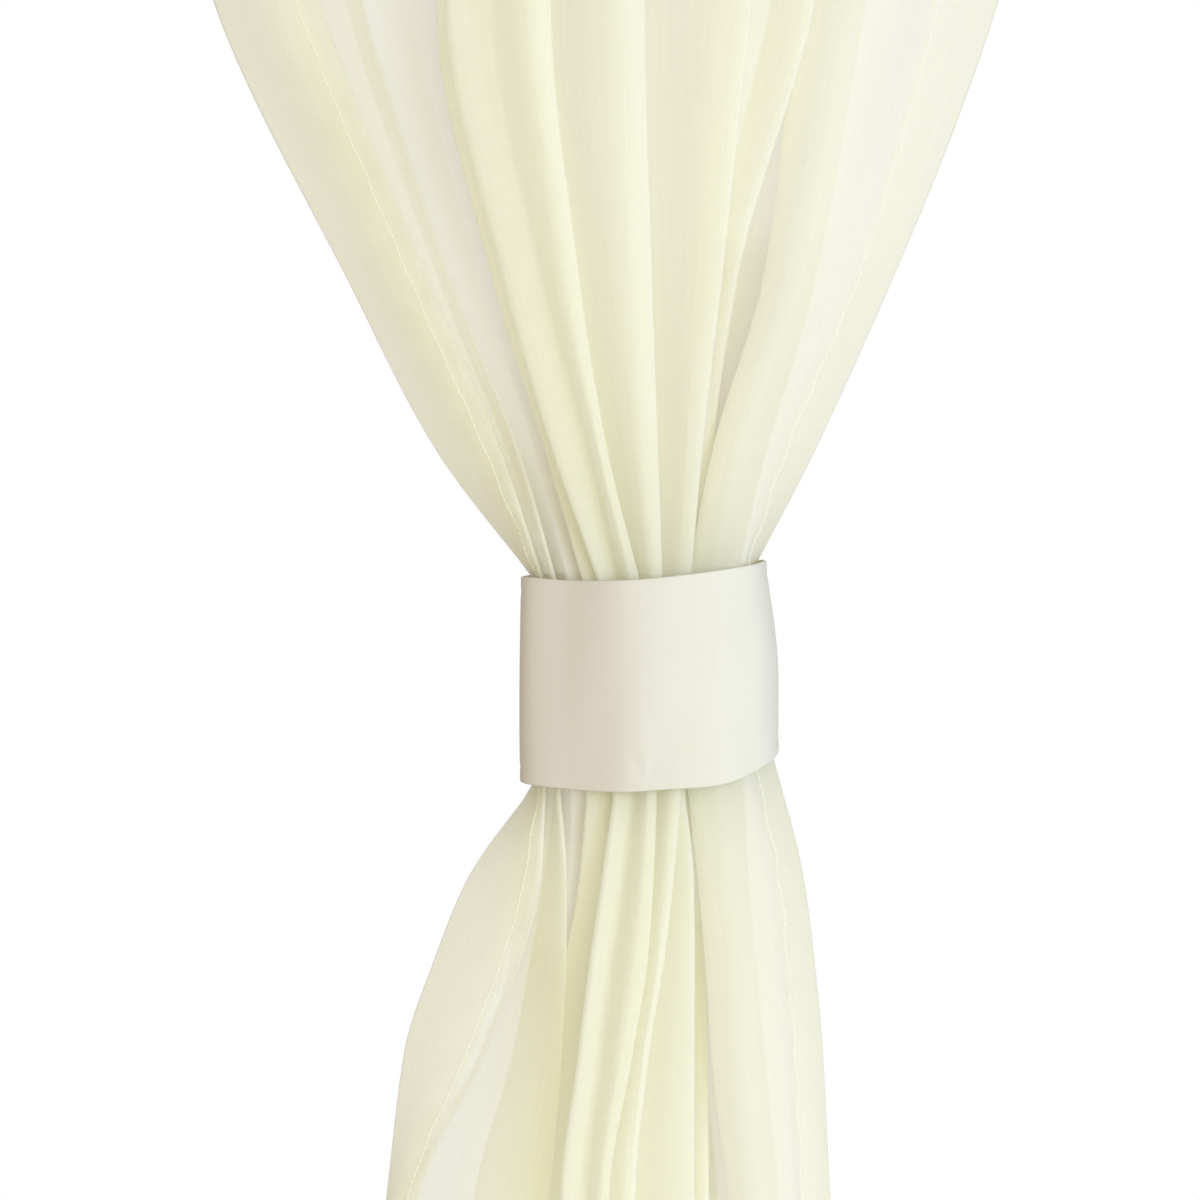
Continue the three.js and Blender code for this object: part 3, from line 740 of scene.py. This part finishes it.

# %% [markdown]
# ## Gathers finer than the folds
#
# The tieback draws in more cloth than its folds can show: the rest stands in gathers finer than a
# millimetre. They could be made as thousands of tiny pleats, but at this distance they only look
# closer and deeper in colour. So each point of the sheet carries one number, how many times as
# close its threads stand as in the flat cloth, and the finish below reads it: it closes the gaps,
# and it paints the ivory deeper, partly for the denser cloth and partly as painted shade. It comes
# from the length of each row, and a few stretches that are pinched more than the rest are listed:
# the strips at the left, the cloth in the opening at the right, and what enters the tieback. Their
# extra count also stands for the shade in those recesses and strips.

# %% Count how closely the threads stand, and where shade is painted
# One row for each stretch that is pinched into finer gathers than the folds show; its extra count
# also paints the ivory deeper there, as painted shade: the turns it lies between, the heights
# between which it is pinched and those where that ends, and how much more cloth it holds. It
# reaches a little wider than its turns, in millimetres.
PINCH_AND_SHADE_COLUMNS = ("left", "right", "wider", "top_gone", "top", "foot", "foot_gone", "more")
PINCH_AND_SHADE_ROWS = (
    ("left_edge", "wedge", 0, 690, 500, 240, 130, 0.9),
    ("wedge", "shade_fold", 0, 170, 110, -140, -300, 0.8),
    ("strip_lip", "strip_fold", 5, 690, 600, 100, 60, 1.6),
    ("pinch_lip", "pinch_fold", 7, 690, 600, 100, 60, 2.0),
    ("strip_lip", "strip_fold", 4, -60, -110, -300, -640, 1.8),
    ("pinch_lip", "wedge", 0, -90, -140, -300, -640, 0.9),
    ("strip_lip", "wide_fold_lip", 0, 125, 70, -40, -90, 0.5),
    ("trough_three", "lip_turn", 0, 210, 175, 40, -40, 1.3),
    ("trough_three", "pocket_left", 0, -50, -90, -300, -640, 0.7),
    ("right_lip", "right_edge", 0, 620, 300, -230, -620, 0.2),
)
PINCHES_AND_SHADE = table(PINCH_AND_SHADE_COLUMNS, PINCH_AND_SHADE_ROWS)
PINCH_EASE = 8


def pinched_and_shaded(stretch_row):
    """How much more cloth each point holds in one pinched stretch; the same count paints shade there.
    """
    inside = np.minimum(place_grid - place_of[stretch_row["left"]], place_of[stretch_row["right"]] - place_grid)
    across = fade_in(inside * FLAT_WIDTH + stretch_row["wider"], -PINCH_EASE / 2, PINCH_EASE / 2)
    down = fade_in(height_grid, stretch_row["top_gone"], stretch_row["top"])
    up = fade_in(height_grid, stretch_row["foot_gone"], stretch_row["foot"])
    return stretch_row["more"] * across * down * up


crowd_of_rows = np.maximum(FLAT_WIDTH / lengths, 1)
# The pinched stretches' extra count also stands for painted shade in the strips, the opening and the
# neck
CROWD_AND_SHADE = (crowd_of_rows[:, None] * (1 + sum(pinched_and_shaded(stretch_row) for stretch_row in PINCHES_AND_SHADE)))[..., None]
print(f"threads stand up to {CROWD_AND_SHADE.max():.1f} times as close as in the flat cloth")

# %% [markdown]
# ## The sheet as a mesh
#
# The hems could be strips of their own, but a real hem is turned over from the same cloth. So the
# folded cloth is read once more, from the turned edge inwards, and that strip is set a little
# behind. The map of the flat cloth goes into a UV layer in metres, so that the weave follows the
# threads through every fold.

# %% Turn the hems over and build the sheet
HEM_BEHIND = 0.7
END_HEM_BEHIND = 1.25 * HEM_BEHIND
TURN_EASE = 0.6


def read_cloth(heights, places):
    """Points and fronts of the folded cloth at the given heights and places, by interpolation."""
    row = np.interp(heights, ROWS, np.arange(len(ROWS)))
    column = np.interp(places, PLACES, np.arange(len(PLACES)))
    r0 = np.minimum(row.astype(int), len(ROWS) - 2)
    c0 = np.minimum(column.astype(int), len(PLACES) - 2)
    fr, fc = (row - r0)[:, None, None], (column - c0)[None, :, None]

    def blended(grid):
        corner = [[grid[np.ix_(r0 + i, c0 + j)] for j in (0, 1)] for i in (0, 1)]
        low = corner[0][0] * (1 - fc) + corner[0][1] * fc
        high = corner[1][0] * (1 - fc) + corner[1][1] * fc
        return low * (1 - fr) + high * fr

    return blended(CLOTH), unit(blended(FRONT)), blended(CROWD_AND_SHADE)


def turned(values, low, high, back):
    """Values from low to high, with a hem's worth of them repeated backwards past both ends.
    Gives the values, how far each lies behind, and its place on the flat cut cloth."""
    back = np.array(back)
    both = np.concatenate([low + back, values, high - back[::-1]])
    behind = np.concatenate([
        np.minimum(back / TURN_EASE, 1), np.zeros(len(values)), np.minimum(back[::-1] / TURN_EASE, 1),
    ])
    flat = np.concatenate([low - back, values, high + back[::-1]])
    return both, behind, flat


row_reads, row_behind, row_flat = turned(ROWS, -HEM_BELOW_TIE, TOP_ABOVE_TIE, END_TURN)
column_mm, column_behind, column_flat = turned(PLACES * FLAT_WIDTH, 0, FLAT_WIDTH, SIDE_TURN)
points, fronts, crowd_and_shade = read_cloth(row_reads, column_mm / FLAT_WIDTH)
behind = END_HEM_BEHIND * row_behind[:, None] + HEM_BEHIND * column_behind[None, :]
points = points - fronts * behind[..., None]
heights_3d = np.broadcast_to((row_reads - TOP_ABOVE_TIE)[:, None, None], points.shape[:2] + (1,))
cloth_points = np.concatenate([points, heights_3d], axis=-1) * MM


def grid_faces(rows, columns, ring=False):
    """Four-sided faces of a grid of points, facing the front. A ring is joined both ways round."""
    last_row, last_column = (rows, columns) if ring else (rows - 1, columns - 1)
    r, c = np.meshgrid(np.arange(last_row), np.arange(last_column), indexing="ij")
    up, right = (r + 1) % rows * columns, (c + 1) % columns
    quads = [r * columns + c, r * columns + right, up + right, up + c]
    return np.stack(quads, axis=-1).reshape(-1, 4)


def map_flat(thing, across, up):
    """A UV map in metres, from the flat places of a grid's columns and rows in millimetres."""
    flat = np.stack(np.meshgrid(across, up), axis=-1).reshape(-1, 2) * MM
    corners = np.empty(len(thing.data.loops), int)
    thing.data.loops.foreach_get("vertex_index", corners)
    layer = thing.data.uv_layers.new(name="cloth_map")
    layer.data.foreach_set("uv", flat[corners].ravel())


rows, columns = cloth_points.shape[:2]
curtain = mesh_object("voile_panel", cloth_points.reshape(-1, 3), grid_faces(rows, columns))
map_flat(curtain, column_flat, row_flat)
curtain.data.attributes.new("crowding_and_shade", "FLOAT", "POINT").data.foreach_set("value", crowd_and_shade.ravel())
print(curtain.name, "has", 2 * len(curtain.data.polygons), "triangles in", rows, "rows")

# %% [markdown]
# ## The voile's finish
#
# Voile is a fine plain weave of thin yarns with gaps between them, so part of the light passes
# straight through, part is scattered back and part glows through the threads. A half-clear finish
# alone would look like film, so the material is built as the cloth is: a see-through share, and
# the rest a mix of a matt surface with a little silk sheen and of a translucent one. Yarns of
# uneven thickness, the slubs, make faint streaks along both ways of the weave, and change how
# dense the cloth is. Where the threads stand closer, the gaps close and the ivory is painted
# deeper: partly for the denser cloth, and partly as painted shade in the recesses and strips where
# the layers shade each other. All of it reads the cloth's own map and its count of threads.

# %% Helpers for woven finishes
def maths(tree, operation, *inputs):
    """A Math node on sockets or numbers. Gives its output socket."""
    node = add_node(tree, "ShaderNodeMath", operation=operation)
    for socket, value in zip(node.inputs, inputs):
        feed(tree, socket, value)
    return node.outputs[0]


def mixed_colours(tree, factor, first, second):
    """A colour from the first at factor 0 to the second at factor 1."""
    mix = add_node(tree, "ShaderNodeMix", data_type="RGBA", Factor=factor)
    feed(tree, mix.inputs[6], first)
    feed(tree, mix.inputs[7], second)
    return mix.outputs[2]


def bumped(tree, height, strength, distance):
    """The normal of a face that stands out by the height."""
    return add_node(
        tree, "ShaderNodeBump", Height=height, Strength=strength, Distance=distance
    ).outputs[0]


def weighted(tree, *pairs):
    """The sum of two sockets, each times its number."""
    return maths(tree, "ADD", *[maths(tree, "MULTIPLY", socket, share) for socket, share in pairs])


def yarn_streaks(tree, cloth_map, across, along):
    """Noise stretched along the yarns: its size across and along them, in metres."""
    mapping = add_node(
        tree, "ShaderNodeMapping", Vector=cloth_map, Scale=(1 / across, 1 / along, 1)
    )
    noise = add_node(
        tree, "ShaderNodeTexNoise", Vector=mapping.outputs[0], Scale=1.0, Detail=1.0, Roughness=0.55
    )
    return maths(tree, "SUBTRACT", noise.outputs["Fac"], 0.5)


def weave_waves(tree, cloth_map, pitch):
    """The over and under of a plain weave, from -1 to 1."""
    parts = add_node(tree, "ShaderNodeSeparateXYZ", Vector=cloth_map)
    turns = 2 * np.pi / pitch
    waves = [
        maths(tree, "SINE", maths(tree, "MULTIPLY", parts.outputs[side], turns)) for side in (0, 1)
    ]
    return maths(tree, "MULTIPLY", *waves)


def woven(tree, cloth, warm, pale):
    """The patterns of a plain weave: its slubs, its over and under, its colour and its relief."""
    cloth_map = add_node(tree, "ShaderNodeUVMap", uv_map="cloth_map").outputs[0]
    warp, weft, cloud = (
        yarn_streaks(tree, cloth_map, *cloth[yarns]) for yarns in ("warp", "weft", "cloud")
    )
    weave = weave_waves(tree, cloth_map, YARN_PITCH)
    slubs = weighted(tree, (warp, cloth["warp_share"]), (weft, cloth["weft_share"]))
    tone = weighted(tree, (slubs, cloth["slub_tone"]), (cloud, cloth["cloud_tone"]))
    colour = mixed_colours(tree, maths(tree, "ADD", tone, 0.5), warm, pale)
    relief = weighted(tree, (slubs, 1.0), (weave, cloth["weave_relief"]))
    return slubs, weave, colour, bumped(tree, relief, cloth["bump"], YARN_RELIEF)


# %% Make the voile
VOILE_PALE = (0.995, 0.99, 0.80)
VOILE_WARM = (0.985, 0.975, 0.74)
# Deeper ivory and glow where the threads stand close: partly denser cloth, partly painted shade
VOILE_DENSE_AND_SHADED = (0.905, 0.885, 0.70)
GLOW_COLOUR = (0.975, 0.98, 0.97)
GLOW_DENSE_AND_SHADED = (0.91, 0.895, 0.81)
# How closely the threads stand where the ivory starts to deepen, and where it is deepest; the
# deeper ivory is partly denser cloth and partly painted shade
DENSE_AND_SHADED_CROWDING = (1.9, 3.6)
# Sizes in metres, as the cloth's map is
YARN_PITCH = 0.0005
YARN_RELIEF = 0.0002
SLUB = 0.0011
SLUB_LENGTH = 0.07
VOILE_WEAVE = {
    "warp": (SLUB, SLUB_LENGTH), "weft": (SLUB_LENGTH, SLUB), "cloud": (0.12, 0.3),
    "warp_share": 1.2, "weft_share": 0.5, "slub_tone": 0.3, "cloud_tone": 1.2,
    "weave_relief": 0.35, "bump": 0.25,
}
SOLID_SHARE = 0.77
GLOW_SHARE = 0.58
GAP_CLOSING = 0.5
GAP_UNEVENNESS = 0.06
MATT_SPECULAR = 0.25


def voile_material():
    """See-through ivory voile with slubs and a fine plain weave."""
    material = bpy.data.materials.new("ivory_voile")
    material.use_nodes = True
    tree = material.node_tree
    tree.nodes.clear()
    slubs, weave, ivory, relief = woven(tree, VOILE_WEAVE, VOILE_WARM, VOILE_PALE)
    crowd_and_shade = add_node(tree, "ShaderNodeAttribute", attribute_name="crowding_and_shade").outputs["Fac"]
    # Painted shade, with the denser cloth: the ivory and its glow deepen where the threads stand
    # close
    low, high = DENSE_AND_SHADED_CROWDING
    dense_and_shaded = add_node(tree, "ShaderNodeMapRange", Value=crowd_and_shade, From_Min=low, From_Max=high).outputs[0]
    face = add_node(
        tree, "ShaderNodeBsdfPrincipled", Base_Color=mixed_colours(tree, dense_and_shaded, ivory, VOILE_DENSE_AND_SHADED),
        Normal=relief, Roughness=0.82, Specular_IOR_Level=MATT_SPECULAR,
        Sheen_Weight=0.06, Sheen_Roughness=0.45,
    )
    glow_colour = mixed_colours(tree, dense_and_shaded, GLOW_COLOUR, GLOW_DENSE_AND_SHADED)
    glow = add_node(tree, "ShaderNodeBsdfTranslucent", Color=glow_colour, Normal=relief)
    clear = add_node(tree, "ShaderNodeBsdfTransparent")

    uneven = weighted(tree, (slubs, GAP_UNEVENNESS), (weave, GAP_UNEVENNESS))
    closing = maths(tree, "POWER", crowd_and_shade, GAP_CLOSING)
    gaps = maths(tree, "POWER", maths(tree, "SUBTRACT", 1 - SOLID_SHARE, uneven), closing)
    cloth = mixed_shaders(tree, GLOW_SHARE, face.outputs[0], glow.outputs[0])
    solid = maths(tree, "SUBTRACT", 1.0, gaps)
    surface = mixed_shaders(tree, solid, clear.outputs[0], cloth)
    add_node(tree, "ShaderNodeOutputMaterial", Surface=surface)
    return material


curtain.data.materials.append(voile_material())
print("voile lets", round(100 * (1 - SOLID_SHARE)), "percent of the light straight through")

# %% [markdown]
# ## The tieback
#
# The tieback is a strip of the same ivory cloth folded double, so it looks solid. It is drawn flat
# over the front of the folds, turns sharply where they stand out most, and is tacked at its lower
# edge, where the thread puckers it. A single thin face would lose its rolled edges, so it is made
# as one closed strip, its two faces joined round them, from the same named places as the solid.
# Its left face turns away from the cool lamp, and that shade is painted into the finish: the colour
# turns deeper there, over a soft edge and a sharper one.

# %% Shape the tieback
BAND_SIDE_PIECES = 26
BAND_FACE_ROWS = 30
BAND_EDGE_ROWS = 4
TACK_PLACE = np.array([15.5, -41.5])
TACK_RAYS = 5
TACK_DEPTH = 0.7
TACK_REACH = 9
TACK_SINK = 0.8
TACK_CURL = (0.6, 3)
TACK_FRONT = (5, 25)
SIDE_BULGE = 1.8
SIDE_BULGE_ACROSS = (55, 68)
# Slow waves of the strip: depth, number round it, lean up its height, start
BAND_WAVES = ((0.3, 3, 2.2, 0), (0.21, 7, -4, 1))
HEM_LINE = {"depth": 0.35, "from_middle": 0.44, "width": 0.015}
INNER_FACE_TOP = 2.1


def band_edge(edge):
    """One edge of the tieback as a closed curve, points across, back and up."""
    points = []
    for place in BAND:
        height = place[edge]
        spread = 1 - BAND_TAPER * height / BAND_HALF_HEIGHT if place["across"] > 0 else 1
        points.append((place["across"] * spread, place["back"], height))
    points = np.array(points)
    held = np.concatenate([points[-1:], points, points[:2]])[None]
    return spline_points(held, [BAND_SIDE_PIECES] * len(BAND))[0]


def band_profile():
    """The closed profile of the strip: its share of the height, and its share of the thickness."""
    up = np.linspace(0, 1, BAND_FACE_ROWS)
    edge = np.linspace(0, np.pi, BAND_EDGE_ROWS + 2)[1:-1]
    round_over = BAND_THICKNESS / 2 / (2 * BAND_HALF_HEIGHT)
    share = np.concatenate([
        up, 1 + round_over * np.sin(edge), up[::-1], -round_over * np.sin(edge),
    ])
    inwards = np.concatenate([
        np.zeros(len(up)), (1 - np.cos(edge)) / 2, np.ones(len(up)), (1 + np.cos(edge)) / 2,
    ])
    return share, inwards


def tack_lift(across, height):
    """Small creases that run out of the tack at the tieback's lower edge."""
    away = np.stack([across, height], axis=-1) - TACK_PLACE
    distance = np.linalg.norm(away, axis=-1)
    angle = np.arctan2(away[..., 0], away[..., 1])
    curl, curl_length = TACK_CURL
    rays = np.cos(TACK_RAYS * angle + curl * np.sin(distance / curl_length)) * distance / TACK_REACH
    return TACK_DEPTH * (rays - TACK_SINK) * bell(distance / TACK_REACH)


def band_lift(angle, share, across, back, height):
    """Soft unevenness of the strip, square to its face."""
    slow = sum(
        depth * np.sin(count * angle + lean * share + start)
        for depth, count, lean, start in BAND_WAVES
    )
    from_line = np.abs(share - 0.5) - HEM_LINE["from_middle"]
    hem = -HEM_LINE["depth"] * bell(from_line / HEM_LINE["width"])
    middle = np.sin(np.pi * np.clip(share, 0, 1)) ** 2
    bulge = SIDE_BULGE * middle * fade_in(across, *SIDE_BULGE_ACROSS)
    return slow + hem + bulge + tack_lift(across, height) * fade_in(-back, *TACK_FRONT)


share, inwards = band_profile()
top, bottom = band_edge("top"), band_edge("bottom")
outer = bottom[None] + (top - bottom)[None] * share[:, None, None]
run = np.roll(outer, -1, axis=1) - np.roll(outer, 1, axis=1)
out_of_face = unit(np.stack([run[..., 1], -run[..., 0], np.zeros(run.shape[:2])], axis=-1))
angle = np.linspace(0, 2 * np.pi, outer.shape[1], endpoint=False)[None]
unevenness = band_lift(angle, share[:, None], outer[..., 0], outer[..., 1], outer[..., 2])
band_points = outer + out_of_face * (unevenness - BAND_THICKNESS * inwards[:, None])[..., None]
band_points[..., 2] -= TOP_ABOVE_TIE

band_rows, band_columns = band_points.shape[:2]
band = mesh_object(
    "tieback_strip", band_points.reshape(-1, 3) * MM, grid_faces(band_rows, band_columns, ring=True)
)
band_round = np.linalg.norm(np.diff(np.vstack([outer[0], outer[0][:1]]), axis=0), axis=1).sum()
around = np.linspace(0, band_round, band_columns, endpoint=False)
# On the flat cloth, the inner face lies above the outer one
up_the_band = np.where(inwards < 0.5, share, INNER_FACE_TOP - share) * 2 * BAND_HALF_HEIGHT
map_flat(band, around, up_the_band)
print(f"the tieback is {band_round:.0f} mm round and {2 * BAND_HALF_HEIGHT} mm tall")

# %% Finish the tieback
BAND_PALE = (0.735, 0.73, 0.61)
BAND_WARM = (0.71, 0.69, 0.56)
# Painted shade of the tieback's left face, which turns away from the cool lamp
BAND_PAINTED_SHADE = (0.685, 0.635, 0.535)
BAND_WEAVE = {
    "warp": (SLUB_LENGTH / 2, SLUB), "weft": (SLUB, SLUB_LENGTH / 2), "cloud": (0.03, 0.05),
    "warp_share": 1.0, "weft_share": 0.7, "slub_tone": 0.6, "cloud_tone": 1.0,
    "weave_relief": 0.5, "bump": 0.3,
}
# The painted shade's two edges on the left face, a soft and a sharp one: the share of the painted
# shade that each adds, and where it starts and is full across the tieback, in metres
SHADE_EDGE_COLUMNS = ("share", "pale_from", "deep_to")
SHADE_EDGE_ROWS = ((0.55, 0.034, 0.003), (0.32, 0.0085, 0.003))
SHADE_EDGES = table(SHADE_EDGE_COLUMNS, SHADE_EDGE_ROWS)


def band_material():
    """Doubled ivory cloth: closed, matt, with the same slubs and weave, and painted shade on its left
    face.
    """
    material = plain_material("doubled_ivory_cloth", BAND_PALE, roughness=0.8)
    tree = material.node_tree
    _, _, ivory, relief = woven(tree, BAND_WEAVE, BAND_WARM, BAND_PALE)
    place = add_node(tree, "ShaderNodeTexCoord").outputs["Object"]
    across = add_node(tree, "ShaderNodeSeparateXYZ", Vector=place).outputs["X"]
    # Painted shade: the colour deepens over the left face, by its place across the tieback
    painted_shade = [
        add_node(
            tree, "ShaderNodeMapRange", interpolation_type="SMOOTHSTEP", Value=across,
            From_Min=shade_edge["pale_from"], From_Max=shade_edge["deep_to"], To_Max=shade_edge["share"],
        ).outputs[0]
        for shade_edge in SHADE_EDGES
    ]
    dyed = mixed_colours(tree, maths(tree, "ADD", *painted_shade), ivory, BAND_PAINTED_SHADE)
    set_up(
        tree, tree.nodes["Principled BSDF"], Base_Color=dyed, Normal=relief,
        Specular_IOR_Level=MATT_SPECULAR, Sheen_Weight=0.08, Sheen_Roughness=0.5,
    )
    return material


band.data.materials.append(band_material())

# %% [markdown]
# ## Stitches
#
# A hem is held by a row of small straight stitches. They repeat along a seam, which is what
# Geometry Nodes are for: a line of points becomes a curve, the curve is cut into equal steps, and
# a short thread is set on each step, turned along the seam with a little unevenness from a fixed
# seed. The tree ends in real mesh, and the finished mesh is kept in place of the modifier.

# %% Build the stitching tree
THREAD_SIDES = 5
STITCHING = {
    "Pitch": 0.0032, "Stitch Length": 0.0023, "Thread Radius": 0.00016, "Unevenness": 0.18, "Seed": 4,
}


def stitch_tree():
    """Geometry Nodes that sew a line of edges with short threads."""
    tree = bpy.data.node_groups.new("sew_along_line", "GeometryNodeTree")
    sockets = tree.interface
    sockets.new_socket("Seam", in_out="INPUT", socket_type="NodeSocketGeometry")
    for name, value in STITCHING.items():
        kind = "NodeSocketInt" if isinstance(value, int) else "NodeSocketFloat"
        sockets.new_socket(name, in_out="INPUT", socket_type=kind)
    sockets.new_socket("Thread", in_out="INPUT", socket_type="NodeSocketMaterial")
    sockets.new_socket("Stitches", in_out="OUTPUT", socket_type="NodeSocketGeometry")

    start = add_node(tree, "NodeGroupInput").outputs
    line = add_node(tree, "GeometryNodeMeshToCurve", Mesh=start["Seam"])
    steps = add_node(
        tree, "GeometryNodeResampleCurve", mode="LENGTH", Curve=line.outputs[0], Length=start["Pitch"]
    )
    thread = add_node(
        tree, "GeometryNodeMeshCylinder",
        Vertices=THREAD_SIDES, Radius=start["Thread Radius"], Depth=start["Stitch Length"],
    )
    tangent = add_node(tree, "GeometryNodeInputTangent").outputs[0]
    along_seam = add_node(tree, "FunctionNodeAlignRotationToVector", axis="Z", Vector=tangent)
    uneven = add_node(tree, "FunctionNodeRandomValue", data_type="FLOAT", Seed=start["Seed"])
    feed(tree, uneven.inputs[2], maths(tree, "SUBTRACT", 1.0, start["Unevenness"]))
    feed(tree, uneven.inputs[3], maths(tree, "ADD", 1.0, start["Unevenness"]))
    size = add_node(tree, "ShaderNodeCombineXYZ", X=1.0, Y=1.0, Z=uneven.outputs[1])
    sewn = add_node(
        tree, "GeometryNodeInstanceOnPoints", Points=steps.outputs[0], Instance=thread.outputs[0],
        Rotation=along_seam.outputs[0], Scale=size.outputs[0],
    )
    real = add_node(tree, "GeometryNodeRealizeInstances", Geometry=sewn.outputs[0])
    dressed = add_node(
        tree, "GeometryNodeSetMaterial", Geometry=real.outputs[0], Material=start["Thread"]
    )
    add_node(tree, "NodeGroupOutput", Stitches=dressed.outputs[0])
    return tree


sewing = stitch_tree()
print("the stitching tree has", len(sewing.nodes), "nodes")

# %% Spin the thread
THREAD_SHADED = (0.88, 0.86, 0.74)
THREAD_PALE = (0.95, 0.94, 0.85)
PLY_TURNS = 1800.0
PLY_RELIEF = 0.00005


def thread_material():
    """Spun polyester thread, a little brighter than the cloth, with the twist of its plies."""
    material = plain_material("ivory_thread", THREAD_PALE, roughness=0.6)
    tree = material.node_tree
    place = add_node(tree, "ShaderNodeTexCoord").outputs["Object"]
    plies = add_node(tree, "ShaderNodeTexWave", Vector=place, Scale=PLY_TURNS, Distortion=1.5)
    twist = plies.outputs["Fac"]
    colour = mixed_colours(tree, twist, THREAD_SHADED, THREAD_PALE)
    normal = bumped(tree, twist, 0.4, PLY_RELIEF)
    set_up(tree, tree.nodes["Principled BSDF"], Base_Color=colour, Normal=normal)
    return material


def sew(name, paths, values):
    """Threads along several paths of points in metres, as one plain mesh."""
    mesh = bpy.data.meshes.new(name)
    firsts = np.cumsum([0] + [len(path) for path in paths])
    edges = [(i, i + 1) for a, b in zip(firsts, firsts[1:]) for i in range(a, b - 1)]
    mesh.from_pydata([tuple(p) for path in paths for p in path], edges, [])
    seam = placed(name + "_seam", mesh)
    modifier = seam.modifiers.new("sewing", "NODES")
    modifier.node_group = sewing
    for item in sewing.interface.items_tree:
        if item.in_out == "INPUT" and item.name in values:
            modifier[item.identifier] = values[item.name]
    graph = bpy.context.evaluated_depsgraph_get()
    sewn = bpy.data.meshes.new_from_object(seam.evaluated_get(graph))
    bpy.data.objects.remove(seam)
    sewn.name = name
    print(name, "has", len(sewn.polygons), "faces")
    return placed(name, sewn)


# %% Sew the hems
SEAM_PROUD = 0.15
END_SEAM_POINTS = 900


def seam_path(heights, across_mm):
    """Points in metres on the front of the cloth, along a seam."""
    points, fronts, _ = read_cloth(np.atleast_1d(heights), np.atleast_1d(across_mm) / FLAT_WIDTH)
    points = (points + fronts * SEAM_PROUD).reshape(-1, 2)
    up = np.repeat(np.atleast_1d(heights), np.size(across_mm)) - TOP_ABOVE_TIE
    return np.column_stack([points, up]) * MM


across_all = np.linspace(1, FLAT_WIDTH - 1, END_SEAM_POINTS)
seams = [
    seam_path(ROWS[1:-1], SIDE_SEAM),
    seam_path(ROWS[1:-1], FLAT_WIDTH - SIDE_SEAM),
    seam_path(TOP_ABOVE_TIE - END_SEAM, across_all),
    seam_path(END_SEAM - HEM_BELOW_TIE, across_all),
]
hem_stitches = sew("hem_stitches", seams, {**STITCHING, "Thread": thread_material()})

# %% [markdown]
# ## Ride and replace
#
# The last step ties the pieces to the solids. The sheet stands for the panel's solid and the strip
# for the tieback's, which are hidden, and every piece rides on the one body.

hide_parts("curtain_panel")
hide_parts("tieback_band")
for piece, finish in (
    (curtain, "sheer_voile"), (hem_stitches, "sheer_voile"), (band, "tieback_cloth"),
):
    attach(piece, "root")
